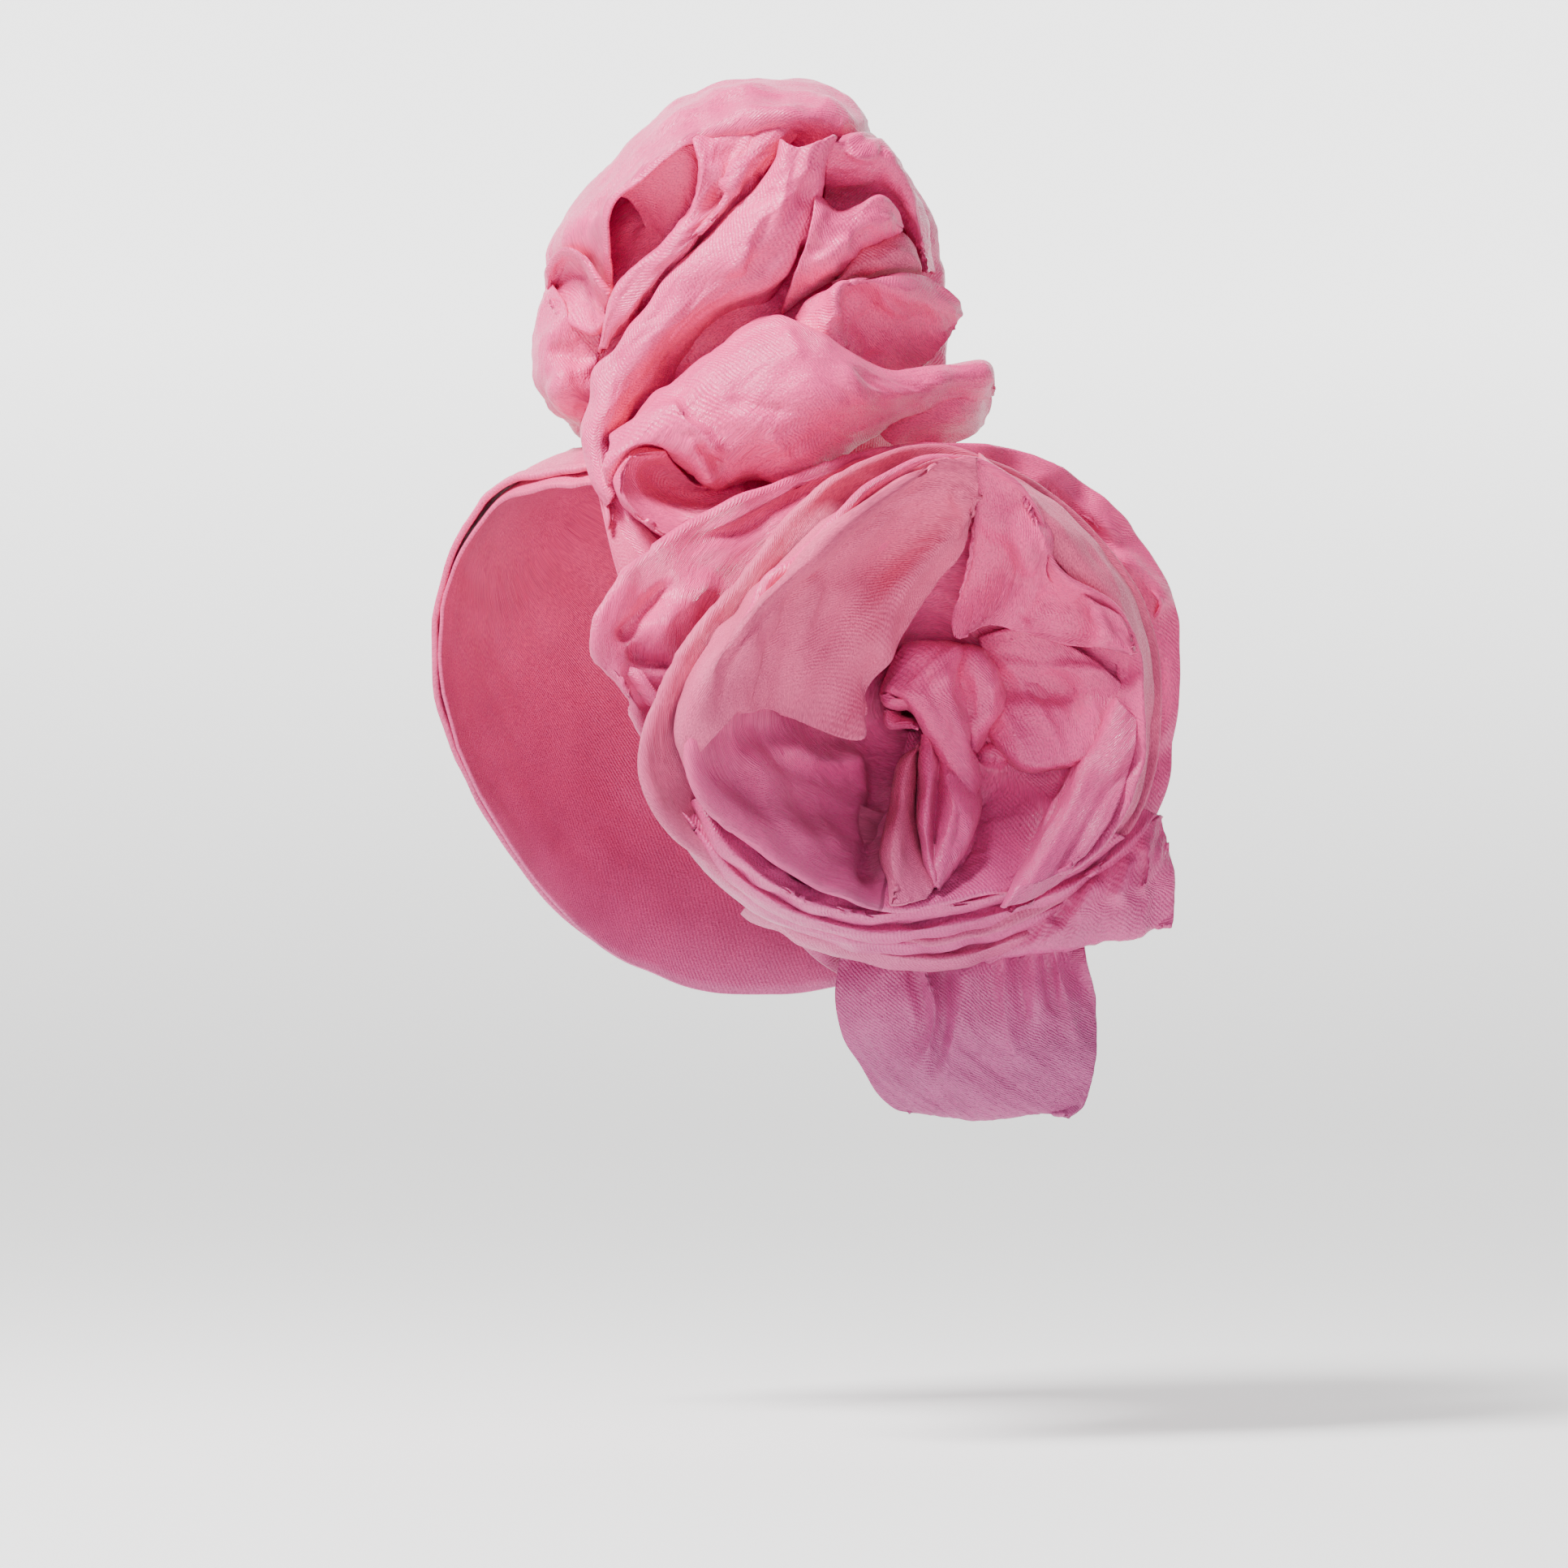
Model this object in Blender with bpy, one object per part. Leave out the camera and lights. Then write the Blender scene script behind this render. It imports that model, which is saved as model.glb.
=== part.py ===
"""A tied gele head tie in pink satin: a fitted cap, a gathered crown, a front scroll, a side rosette.

Metres, +Z up. The wearer faces -Y and the origin is where the crown of the head meets the cap.
The wrap is dressed to be seen from the wearer's front left. Most pieces are laid out in that dressed
frame: across (to the right as seen), up, and toward (out from the head to the viewer).
"""

import math
from collections import namedtuple

import bmesh
import bpy
import numpy as np
from mathutils import Vector

# Head and cap
HEAD_BREADTH = 0.150
HEAD_LENGTH = 0.190
CAP_DEPTH = 0.192
CAP_EASE = 0.0010
CAP_WALL = 0.0018
BAND_WALL = 0.0016
LAYER_GAP = 0.0016

# How the wrap is dressed
DRESS_TURN = math.radians(50)

# Crown puff
CROWN_WIDTH = 0.145
CROWN_DEPTH = 0.124
CROWN_HEIGHT = 0.1245
CROWN_OFFSET = 0.0176
CROWN_WALL = 0.0018

# Rolls, scroll and lobes
ROLL_WALL = 0.0016

# Rosette
ROSETTE_RADIUS = 0.090
ROSETTE_ACROSS = 0.0742
ROSETTE_DROP = 0.0910
ROSETTE_SEAT = 0.0500
ROSETTE_SLANT = 0.50
ROSETTE_WALL = 0.0022
PETAL_WALL = 0.0016
BOWL_LIFT = 0.050
NECK_SHIFT = 0.022
NECK_RADIUS = 0.027

# Loops of cloth behind and below the rosette. Where each one starts is counted from the rosette's centre,
# in shares of its radius.
LOOP_WALL = 0.0016
TAIL_LENGTH = 0.068
TAIL_WIDTH = 0.086
TAIL_THICK = 0.016
TAIL_ACROSS = 0.198
TAIL_UNDER = 0.811
TAIL_TOWARD = 0.040
WING_LENGTH = 0.060
WING_WIDTH = 0.052
WING_THICK = 0.016
WING_ACROSS = 0.342
WING_UNDER = 0.556
WING_TOWARD = 0.048
LOOP_OVAL = 0.8

# The gap that pieces keep where they lie on each other
CLEAR = 0.0004

# The second layer over the forehead: its step back from the cap's edge, its upper edge and its width, in
# shares of the cap's depth, and the turns in degrees between which it runs
BAND_STEP = 0.019
BAND_TOP = 0.030
BAND_WIDTH = 0.30
BAND_START = -115
BAND_END = 36

TAIL_HEADING = math.radians(-90)
WING_HEADING = math.radians(-18)

# How a fold rises across its width and dies out at its ends, and where the crown's folds fade at its foot
# and at its top, in shares of the crown's profile
ARCH_POWER = 0.8
FOLD_TAPER = 0.35
FOLD_END = 0.04
FOOT_FADE = 0.12
TOP_FADE = 0.06

# The long roll and the front scroll wind from one angle to another. The scroll's inner turn is drawn in.
LONG_ROLL_START = 200
LONG_ROLL_END = -40
SCROLL_START = 250
SCROLL_END = -190
SCROLL_DRAWN_IN = 0.35

# The cap's ease is whole from the first drop on, and its lift over the crown is gone at the second
EASE_FULL_DROP = 0.04
LIFT_END_DROP = 0.35
CAP_ROW_POWER = 1.25

HEAD_MIDDLE = (0.0, 0.0, -CAP_DEPTH / 2)
FAR_BEHIND = (-0.8, 0.6, 0.0)

SATIN_PINK = (0.75, 0.20, 0.37)
SATIN_ROUGHNESS = 0.45

# The head from its crown down: shares of the cap's depth, the head's breadth and the head's length
Section = namedtuple("Section", "drop breadth length back")
HEAD_SECTIONS = (
    Section(0.000, 0.00, 0.00, 0.00),
    Section(0.010, 0.25, 0.25, 0.00),
    Section(0.040, 0.48, 0.48, 0.00),
    Section(0.090, 0.68, 0.68, 0.00),
    Section(0.160, 0.83, 0.83, 0.00),
    Section(0.260, 0.94, 0.94, 0.00),
    Section(0.400, 1.00, 1.00, 0.00),
    Section(0.540, 0.98, 0.99, 0.01),
    Section(0.680, 0.91, 0.93, 0.03),
    Section(0.820, 0.80, 0.82, 0.06),
    Section(0.920, 0.71, 0.71, 0.09),
    Section(1.000, 0.66, 0.64, 0.11),
)
WIDEST = 7

# The cap's trimmed edge: turn in degrees from the face to the wearer's left, drop in shares of its depth
Edge = namedtuple("Edge", "turn drop")
CAP_EDGE = (
    Edge(0, 0.103),
    Edge(15, 0.098),
    Edge(27, 0.105),
    Edge(34, 0.170),
    Edge(42, 0.300),
    Edge(55, 0.560),
    Edge(73, 0.810),
    Edge(109, 0.975),
    Edge(145, 1.000),
    Edge(180, 0.980),
    Edge(215, 1.000),
    Edge(251, 0.975),
    Edge(287, 0.810),
    Edge(305, 0.560),
    Edge(318, 0.330),
    Edge(332, 0.170),
)

# Crown outline, bottom to top: shares of the crown's height, half width and half depth
Ring = namedtuple("Ring", "up wide deep lean")
CROWN_RINGS = (
    Ring(0.00, 0.70, 0.80, 0.00),
    Ring(0.07, 0.80, 0.86, 0.00),
    Ring(0.17, 0.88, 0.92, 0.00),
    Ring(0.28, 0.90, 0.94, 0.00),
    Ring(0.40, 0.86, 0.92, -0.02),
    Ring(0.52, 0.84, 0.90, -0.03),
    Ring(0.64, 0.76, 0.84, -0.03),
    Ring(0.75, 0.65, 0.74, -0.01),
    Ring(0.85, 0.50, 0.58, 0.04),
    Ring(0.92, 0.34, 0.38, 0.09),
    Ring(0.955, 0.17, 0.19, 0.12),
    Ring(0.965, 0.00, 0.00, 0.13),
)

# Folds of the crown: a path over its surface as (turn, height), with the arch's lift and the half widths
# on its left and right sides. Turns are in degrees from the dressed side, heights are shares of the crown.
Fold = namedtuple("Fold", "name lift left right path")
CROWN_FOLDS = (
    Fold(
        "rim", 0.14, 0.34, 0.26,
        ((-98, 0.20), (-84, 0.46), (-70, 0.66), (-55, 0.83), (-20, 0.94), (50, 0.92)),
    ),
    Fold("rim_back", 0.13, 0.30, 0.30, ((50, 0.92), (76, 0.74), (92, 0.56), (104, 0.36), (108, 0.14))),
    Fold("pocket_top", 0.15, 0.20, 0.18, ((10, 0.90), (-30, 0.84), (-54, 0.72), (-64, 0.58))),
    Fold(
        "upper_roll", 0.20, 0.20, 0.20,
        ((36, 0.90), (6, 0.80), (-12, 0.70), (-28, 0.56), (-40, 0.42)),
    ),
    Fold("left_bag", 0.16, 0.24, 0.24, ((-84, 0.08), (-70, 0.18), (-60, 0.32))),
    Fold("left_lip", 0.13, 0.16, 0.16, ((-80, 0.52), (-66, 0.50), (-54, 0.40))),
    Fold("right_fold", 0.22, 0.18, 0.16, ((22, 0.84), (20, 0.66), (16, 0.46))),
    Fold("right_brow", 0.18, 0.16, 0.16, ((30, 0.84), (50, 0.80), (68, 0.68), (80, 0.52))),
    Fold("right_roll", 0.22, 0.18, 0.20, ((64, 0.60), (46, 0.52), (28, 0.46), (14, 0.38))),
    Fold("back_sweep", 0.16, 0.24, 0.24, ((120, 0.86), (140, 0.60), (168, 0.38), (205, 0.18))),
    Fold("back_cross", 0.15, 0.22, 0.26, ((205, 0.84), (222, 0.62), (236, 0.40), (250, 0.12))),
    Fold("back_low", 0.15, 0.20, 0.22, ((112, 0.30), (140, 0.20), (170, 0.10))),
)

# Rolls laid over the crown: across, up and toward are shares of the crown's half width, height and half
# depth; wide and deep are the roll's half width and half depth, as shares of the crown's half width.
Stop = namedtuple("Stop", "across up toward wide deep")
LONG_ROLL = (
    Stop(0.26, 0.83, 0.62, 0.10, 0.10),
    Stop(0.13, 0.70, 0.88, 0.15, 0.12),
    Stop(-0.05, 0.55, 0.99, 0.19, 0.14),
    Stop(-0.26, 0.41, 0.97, 0.22, 0.15),
    Stop(-0.45, 0.28, 0.90, 0.22, 0.16),
    Stop(-0.58, 0.16, 0.86, 0.20, 0.16),
    Stop(-0.62, 0.02, 0.89, 0.16, 0.16),
    Stop(-0.60, -0.11, 1.00, 0.13, 0.13),
    Stop(-0.52, -0.22, 1.12, 0.11, 0.10),
    Stop(-0.40, -0.31, 1.24, 0.08, 0.08),
)
FRONT_SCROLL = (
    Stop(-0.47, -0.17, 1.25, 0.17, 0.16),
    Stop(-0.30, -0.10, 1.29, 0.25, 0.20),
    Stop(-0.04, 0.01, 1.29, 0.34, 0.22),
    Stop(0.22, 0.09, 1.24, 0.37, 0.22),
    Stop(0.50, 0.14, 1.12, 0.30, 0.20),
    Stop(0.78, 0.15, 0.98, 0.19, 0.15),
    Stop(1.00, 0.15, 0.82, 0.12, 0.11),
    Stop(1.13, 0.14, 0.70, 0.06, 0.06),
)


def spline(known, values, at, period=None):
    """A smooth curve through the values: cubic pieces, with slopes taken from the values on both sides.

    With a period the curve closes on itself after it."""
    known = np.asarray(known, float)
    values = np.asarray(values, float)
    at = np.asarray(at, float)
    if period:
        known = np.concatenate([known[-2:] - period, known, known[:2] + period])
        values = np.concatenate([values[-2:], values, values[:2]])
        at = np.mod(at - known[2], period) + known[2]
    slopes = np.gradient(values, known, axis=0)
    index = np.clip(np.searchsorted(known, at, side="right") - 1, 0, len(known) - 2)
    span = known[index + 1] - known[index]
    share = (at - known[index]) / span
    more = (1,) * (values.ndim - 1)
    share, span = share.reshape(share.shape + more), span.reshape(span.shape + more)
    start, end = values[index], values[index + 1]
    rise, fall = slopes[index] * span, slopes[index + 1] * span
    cube, square = share**3, share**2
    return (
        (2 * cube - 3 * square + 1) * start
        + (cube - 2 * square + share) * rise
        + (3 * square - 2 * cube) * end
        + (cube - square) * fall
    )


def columns(rows):
    """The rows of a table as one array."""
    return np.array([tuple(row) for row in rows], float)


def dressed(across, up, toward):
    """Points of the dressed frame, turned into the frame of the part."""
    cosine, sine = math.cos(DRESS_TURN), math.sin(DRESS_TURN)
    across, up, toward = np.broadcast_arrays(across, up, toward)
    return np.stack([across * cosine + toward * sine, across * sine - toward * cosine, up], axis=-1)


def head_point(turn, drop, ease):
    """A point over the head.

    The turn is in degrees from the face to the wearer's left, the drop is a share of the cap's depth."""
    table = columns(HEAD_SECTIONS)
    half = [np.maximum(spline(table[:, 0], table[:, k], drop), 0) for k in (1, 2)]
    back = spline(table[:, 0], table[:, 3], drop) * HEAD_LENGTH / 2
    angle = np.radians(turn)
    thin = np.clip(drop / EASE_FULL_DROP, 0, 1)
    x = (half[0] * HEAD_BREADTH / 2 + ease * thin) * np.sin(angle)
    y = -(half[1] * HEAD_LENGTH / 2 + ease * thin) * np.cos(angle) + back
    z = -drop * CAP_DEPTH + ease * (1 - np.clip(drop / LIFT_END_DROP, 0, 1))
    return np.stack([x, y, z], axis=-1)


def head_height(points):
    """The height of the head's surface under or over each point."""
    table = columns(HEAD_SECTIONS)[:WIDEST]
    reach = np.hypot(points[..., 0] / (HEAD_BREADTH / 2), points[..., 1] / (HEAD_LENGTH / 2))
    return -np.interp(reach, table[:, 1], table[:, 0]) * CAP_DEPTH


def head_toward(across, up, ease):
    """How far toward the viewer the head's surface lies at a place across and up, or 0 beside the head."""
    table = columns(HEAD_SECTIONS)
    drop = np.clip(-up / CAP_DEPTH, 0, 1)
    half = [spline(table[:, 0], table[:, k], drop) for k in (1, 2)]
    back = spline(table[:, 0], table[:, 3], drop) * HEAD_LENGTH / 2
    a, b = half[0] * HEAD_BREADTH / 2 + ease, half[1] * HEAD_LENGTH / 2 + ease
    cosine, sine = math.cos(DRESS_TURN), math.sin(DRESS_TURN)
    square = (sine / a) ** 2 + (cosine / b) ** 2
    middle = across * cosine * sine / a**2 - cosine * (across * sine - back) / b**2
    rest = (across * cosine / a) ** 2 + ((across * sine - back) / b) ** 2 - 1
    return (-middle + np.sqrt(np.maximum(middle**2 - square * rest, 0))) / square


def cap_grid(around, down):
    """The cap's outer face, from the crown to the trimmed edge."""
    turn = np.linspace(0, 360, around, endpoint=False)
    table = columns(CAP_EDGE)
    edge = spline(table[:, 0], table[:, 1], turn, 360)
    share = np.linspace(0, 1, down + 1)[1:] ** CAP_ROW_POWER
    return head_point(turn[:, None], edge[:, None] * share[None, :], CAP_EASE + CAP_WALL)


def segments_near(points, path):
    """The distance from each point to the path, the share along it, and the side (-1 left, 1 right)."""
    flat = points.reshape(-1, 3)
    best = np.full(len(flat), 1e9)
    share = np.zeros(len(flat))
    where = np.zeros((len(flat), 3))
    steps = np.linalg.norm(np.diff(path, axis=0), axis=1)
    along = np.concatenate([[0], np.cumsum(steps)]) / steps.sum()
    for k in range(len(path) - 1):
        start, run = path[k], path[k + 1] - path[k]
        part = np.clip(((flat - start) @ run) / max(run @ run, 1e-12), 0, 1)
        foot = start + part[:, None] * run
        gap = np.linalg.norm(flat - foot, axis=1)
        closer = gap < best
        best = np.where(closer, gap, best)
        share = np.where(closer, along[k] + part * (along[k + 1] - along[k]), share)
        where[closer] = np.cross(run, (flat - foot))[closer]
    return best.reshape(points.shape[:-1]), share.reshape(points.shape[:-1]), where.reshape(points.shape)


def crown_base(turn, rise):
    """The crown's plain form, before its folds.

    The turn is in degrees from the dressed side, the rise runs from 0 to 1 up its profile."""
    table = columns(CROWN_RINGS)
    rows = np.linspace(0, 1, len(table))
    up, wide, deep, lean = (spline(rows, table[:, k], rise) for k in range(4))
    angle = np.radians(turn)
    across = CROWN_OFFSET + (lean + np.maximum(wide, 0) * np.sin(angle)) * CROWN_WIDTH / 2
    toward = np.maximum(deep, 0) * np.cos(angle) * CROWN_DEPTH / 2
    points = dressed(across, up * CROWN_HEIGHT, toward)
    first = 1 / (len(table) - 1)
    seat = head_height(points) + CAP_EASE + CAP_WALL + LAYER_GAP + BAND_WALL + CLEAR
    points[..., 2] += (seat - points[..., 2]) * np.clip(1 - rise / first, 0, 1)
    return points


def crown_at(turn, height):
    """The crown's plain form at a share of its height."""
    table = columns(CROWN_RINGS)
    rows = np.linspace(0, 1, len(table))
    fine = np.linspace(0, 1, 400)
    rise = np.interp(height, spline(rows, table[:, 0], fine), fine)
    return crown_base(turn, rise)


def arch(gap, width):
    """A rounded arch of height 1 over a half width."""
    return np.clip(1 - (gap / width) ** 2, 0, 1) ** ARCH_POWER


def outward(points):
    """Unit normals of a grid that closes around its first axis."""
    around = np.roll(points, -1, axis=0) - np.roll(points, 1, axis=0)
    along = np.gradient(points, axis=1)
    normal = np.cross(around, along)
    return normal / np.maximum(np.linalg.norm(normal, axis=-1, keepdims=True), 1e-12)


def crown_grid(around, rows, inset):
    """The crown's cloth: the plain form, raised along each fold by an arch, the highest fold winning.

    An inset draws the whole face in, for the inner side of the cloth."""
    turn = np.linspace(0, 360, around, endpoint=False)
    rise = np.linspace(0, 1, rows + 1)[:-1]
    base = crown_base(turn[:, None], rise[None, :])
    normal = outward(base)
    lift = np.zeros(base.shape[:-1])
    half = CROWN_WIDTH / 2
    for fold in CROWN_FOLDS:
        knots = np.array(fold.path, float)
        fine = np.linspace(0, len(knots) - 1, 40)
        turns, heights = (spline(np.arange(len(knots)), knots[:, k], fine) for k in (0, 1))
        path = crown_at(turns, heights)
        gap, share, side = segments_near(base, path)
        right = np.einsum("...k,...k->...", side, normal) < 0
        width = np.where(right, fold.right, fold.left) * half
        taper = np.sin(np.pi * np.clip(share, FOLD_END, 1 - FOLD_END)) ** FOLD_TAPER
        lift = np.maximum(lift, fold.lift * half * taper * arch(gap, width))
    fade = np.clip(rise / FOOT_FADE, 0, 1) * np.clip((1 - rise) / TOP_FADE, 0, 1)
    return base + normal * (lift * fade - inset)[..., None]


def frame_along(centre):
    """The two directions across a path at each of its points: sideways, and out to the viewer."""
    tangent = np.gradient(centre, axis=0)
    tangent /= np.linalg.norm(tangent, axis=1, keepdims=True)
    out = dressed(0.0, 0.0, 1.0)
    out = out - (tangent @ out)[:, None] * tangent
    out /= np.linalg.norm(out, axis=1, keepdims=True)
    return np.cross(tangent, out), out


def sweep(stops, around, along, start, end, tighten=0.0):
    """A roll of cloth along its stops: an open ring from one angle to another, drawn in as it winds."""
    table = columns(stops)
    knots = np.arange(len(table))
    fine = np.linspace(0, len(table) - 1, along)
    across, up, toward, wide, deep = (spline(knots, table[:, k], fine) for k in range(5))
    half = CROWN_WIDTH / 2
    centre = dressed(CROWN_OFFSET + across * half, up * CROWN_HEIGHT, toward * CROWN_DEPTH / 2)
    side, out = frame_along(centre)
    angle = np.radians(np.linspace(start, end, around))
    scale = 1 - tighten * np.linspace(0, 1, around)
    return (
        centre[:, None, :]
        + side[:, None, :] * (wide[:, None] * half * (scale * np.cos(angle))[None, :])[..., None]
        + out[:, None, :] * (deep[:, None] * half * (scale * np.sin(angle))[None, :])[..., None]
    )


# Rim radii by angle (degrees, counterclockwise from the right as seen), in shares of the rosette's radius
Rim = namedtuple("Rim", "angle outer middle bowl")
ROSETTE_RIMS = (
    Rim(0, 1.015, 0.940, 0.870),
    Rim(22, 1.080, 0.955, 0.850),
    Rim(45, 1.070, 0.940, 0.740),
    Rim(62, 1.050, 0.940, 0.880),
    Rim(80, 0.990, 0.962, 0.925),
    Rim(100, 0.950, 0.900, 0.815),
    Rim(121, 0.945, 0.815, 0.675),
    Rim(141, 1.040, 0.775, 0.660),
    Rim(158, 1.160, 0.815, 0.670),
    Rim(170, 1.180, 0.880, 0.695),
    Rim(185, 0.995, 0.965, 0.790),
    Rim(203, 0.930, 1.000, 0.830),
    Rim(220, 0.920, 0.930, 0.775),
    Rim(244, 0.930, 0.857, 0.730),
    Rim(266, 0.963, 0.870, 0.742),
    Rim(290, 1.000, 0.895, 0.745),
    Rim(315, 1.025, 0.930, 0.855),
    Rim(338, 1.025, 0.947, 0.890),
)

# Layers: which rim, the radius of its sewn edge, the height of its rim over the seat (a share of the bowl's
# lift), and how strongly the wall turns up towards its rim
Layer = namedtuple("Layer", "name rim base high curve")
ROSETTE_LAYERS = (
    Layer("rosette_bowl", "bowl", 0.10, 1.00, 1.9),
    Layer("rosette_middle", "middle", 0.42, 0.62, 1.5),
    Layer("rosette_outer", "outer", 0.52, 0.26, 1.4),
)
BOWL_FLOOR = 0.18

# Petals inside the bowl: their outer and inner edges in shares of the rosette's radius, and how far each
# edge stands over the bowl, as a share of its lift
Petal = namedtuple("Petal", "outer_across outer_up inner_across inner_up outer_stand inner_stand")
LEFT_PETAL = (
    Petal(-0.72, -0.17, -0.62, 0.00, 0.00, 0.08),
    Petal(-0.71, -0.05, -0.40, -0.07, 0.00, 0.20),
    Petal(-0.62, 0.14, -0.18, -0.13, 0.00, 0.28),
    Petal(-0.48, 0.37, -0.17, -0.02, 0.00, 0.30),
    Petal(-0.32, 0.54, -0.11, 0.10, 0.00, 0.28),
    Petal(-0.18, 0.70, -0.03, 0.30, 0.00, 0.22),
    Petal(-0.03, 0.80, 0.09, 0.46, 0.00, 0.16),
    Petal(0.12, 0.84, 0.17, 0.55, 0.00, 0.12),
    Petal(0.20, 0.80, 0.19, 0.70, 0.00, 0.06),
)
RIGHT_PETAL = (
    Petal(0.29, 0.76, 0.23, 0.60, 0.00, 0.06),
    Petal(0.39, 0.69, 0.235, 0.42, 0.00, 0.10),
    Petal(0.46, 0.60, 0.325, 0.325, 0.00, 0.14),
    Petal(0.46, 0.50, 0.435, 0.295, 0.00, 0.15),
    Petal(0.54, 0.42, 0.54, 0.27, 0.00, 0.14),
    Petal(0.64, 0.34, 0.65, 0.22, 0.00, 0.10),
    Petal(0.72, 0.26, 0.73, 0.17, 0.00, 0.06),
)

# The knot and the twisted band, as rolls in the rosette: shares of the rosette's radius, toward is how far
# the roll's underside stands over the bowl
KNOT = (
    Stop(-0.11, 0.01, 0.00, 0.07, 0.08),
    Stop(-0.06, 0.12, 0.01, 0.09, 0.11),
    Stop(0.06, 0.17, 0.01, 0.12, 0.13),
    Stop(0.20, 0.13, 0.00, 0.13, 0.13),
    Stop(0.27, 0.00, 0.00, 0.12, 0.12),
    Stop(0.22, -0.13, 0.00, 0.08, 0.09),
)
TWIST = (
    Stop(0.05, 0.06, 0.12, 0.08, 0.07),
    Stop(0.09, -0.08, 0.13, 0.09, 0.07),
    Stop(0.14, -0.24, 0.08, 0.12, 0.07),
    Stop(0.12, -0.42, 0.02, 0.12, 0.07),
    Stop(0.06, -0.56, 0.00, 0.10, 0.05),
    Stop(0.01, -0.65, 0.00, 0.06, 0.03),
)

# Lobes beside the front scroll: lines of cloth, each a few places as shares of the crown's sizes
Place = namedtuple("Place", "across up toward")
SIDE_LEAF = (
    (Place(0.20, 0.33, 1.05), Place(0.44, 0.42, 1.15), Place(0.74, 0.40, 1.05), Place(1.035, 0.357, 0.72)),
    (Place(0.28, 0.27, 0.98), Place(0.47, 0.28, 0.96), Place(0.74, 0.29, 0.88), Place(0.99, 0.33, 0.66)),
    (Place(0.34, 0.17, 1.10), Place(0.55, 0.17, 1.08), Place(0.78, 0.20, 0.98), Place(1.02, 0.31, 0.74)),
)
UNDER_LOBE = (
    (Place(0.60, 0.08, 1.10), Place(0.88, 0.09, 0.90), Place(1.08, 0.14, 0.74)),
    (Place(0.60, 0.00, 1.10), Place(0.90, 0.02, 0.88), Place(1.19, 0.09, 0.60)),
    (Place(0.60, -0.09, 1.02), Place(0.86, -0.07, 0.80), Place(1.08, -0.02, 0.50)),
)

# Flattened loops: sections from the sewn end to the folded end. The sides are shares of half the width.
Flat = namedtuple("Flat", "along left right thick")
TAIL_SECTIONS = (
    Flat(0.00, -0.68, 0.75, 0.80),
    Flat(0.20, -0.96, 0.95, 0.95),
    Flat(0.55, -0.97, 1.00, 0.85),
    Flat(0.84, -0.74, 0.93, 0.55),
    Flat(1.00, -0.52, 0.85, 0.35),
)
WING_SECTIONS = (
    Flat(0.00, -0.60, 0.70, 0.80),
    Flat(0.40, -1.00, 0.95, 0.95),
    Flat(0.75, -1.05, 1.00, 0.75),
    Flat(1.00, -1.00, 1.00, 0.40),
)


def on_rosette(across, up, toward):
    """Points of the rosette: across and up from its centre, toward over its slanted seat."""
    seat = ROSETTE_SEAT - ROSETTE_SLANT * across
    return dressed(ROSETTE_ACROSS + across, up - ROSETTE_DROP, seat + toward)


def rim_radius(layer, angle):
    """The radius of a layer's rim at each angle."""
    table = columns(ROSETTE_RIMS)
    return spline(table[:, 0], table[:, Rim._fields.index(layer.rim)], angle, 360) * ROSETTE_RADIUS


def layer_level(layer, radius, angle):
    """How high a layer stands over the seat at each radius.

    Its sewn edge lies under the layer before it, and from there it turns up to its rim."""
    rim = rim_radius(layer, angle)
    base = layer.base * ROSETTE_RADIUS
    share = np.clip((radius - base) / (rim - base), 0, 1)
    number = ROSETTE_LAYERS.index(layer)
    if number:
        low = layer_level(ROSETTE_LAYERS[number - 1], base, angle) - ROSETTE_WALL - CLEAR
    else:
        low = BOWL_FLOOR * BOWL_LIFT
    return low + (layer.high * BOWL_LIFT - low) * share**layer.curve


def layer_grid(layer, around, rows):
    """A layer of the rosette from its sewn edge to its rim.

    The outer layer starts from its neck on the cap."""
    angle = np.linspace(0, 360, around, endpoint=False)[:, None]
    rim = rim_radius(layer, angle)
    base = layer.base * ROSETTE_RADIUS
    radius = base + (rim - base) * np.linspace(0, 1, rows)[None, :]
    turn = np.radians(angle)
    grid = on_rosette(radius * np.cos(turn), radius * np.sin(turn), layer_level(layer, radius, angle))
    if layer is not ROSETTE_LAYERS[-1]:
        return grid
    across = ROSETTE_ACROSS - NECK_SHIFT + NECK_RADIUS * np.cos(turn)
    up = NECK_RADIUS * np.sin(turn) - ROSETTE_DROP
    seat = head_toward(across, up, CAP_EASE + CAP_WALL + CLEAR)
    return np.concatenate([dressed(across, up, seat), grid], axis=1)


def petal_grid(rows, along, steps):
    """A petal from its outer edge to its inner edge, standing over the bowl's inner face."""
    table = columns(rows)
    fine = np.linspace(0, len(table) - 1, along)
    edges = [spline(np.arange(len(table)), table[:, k], fine)[:, None] for k in range(6)]
    share = np.linspace(0, 1, steps)[None, :]
    across = (edges[0] + (edges[2] - edges[0]) * share) * ROSETTE_RADIUS
    up = (edges[1] + (edges[3] - edges[1]) * share) * ROSETTE_RADIUS
    floor = layer_level(ROSETTE_LAYERS[0], np.hypot(across, up), np.degrees(np.arctan2(up, across)))
    stand = (edges[4] + (edges[5] - edges[4]) * share) * BOWL_LIFT + PETAL_WALL + CLEAR
    return on_rosette(across, up, floor + stand)


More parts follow.
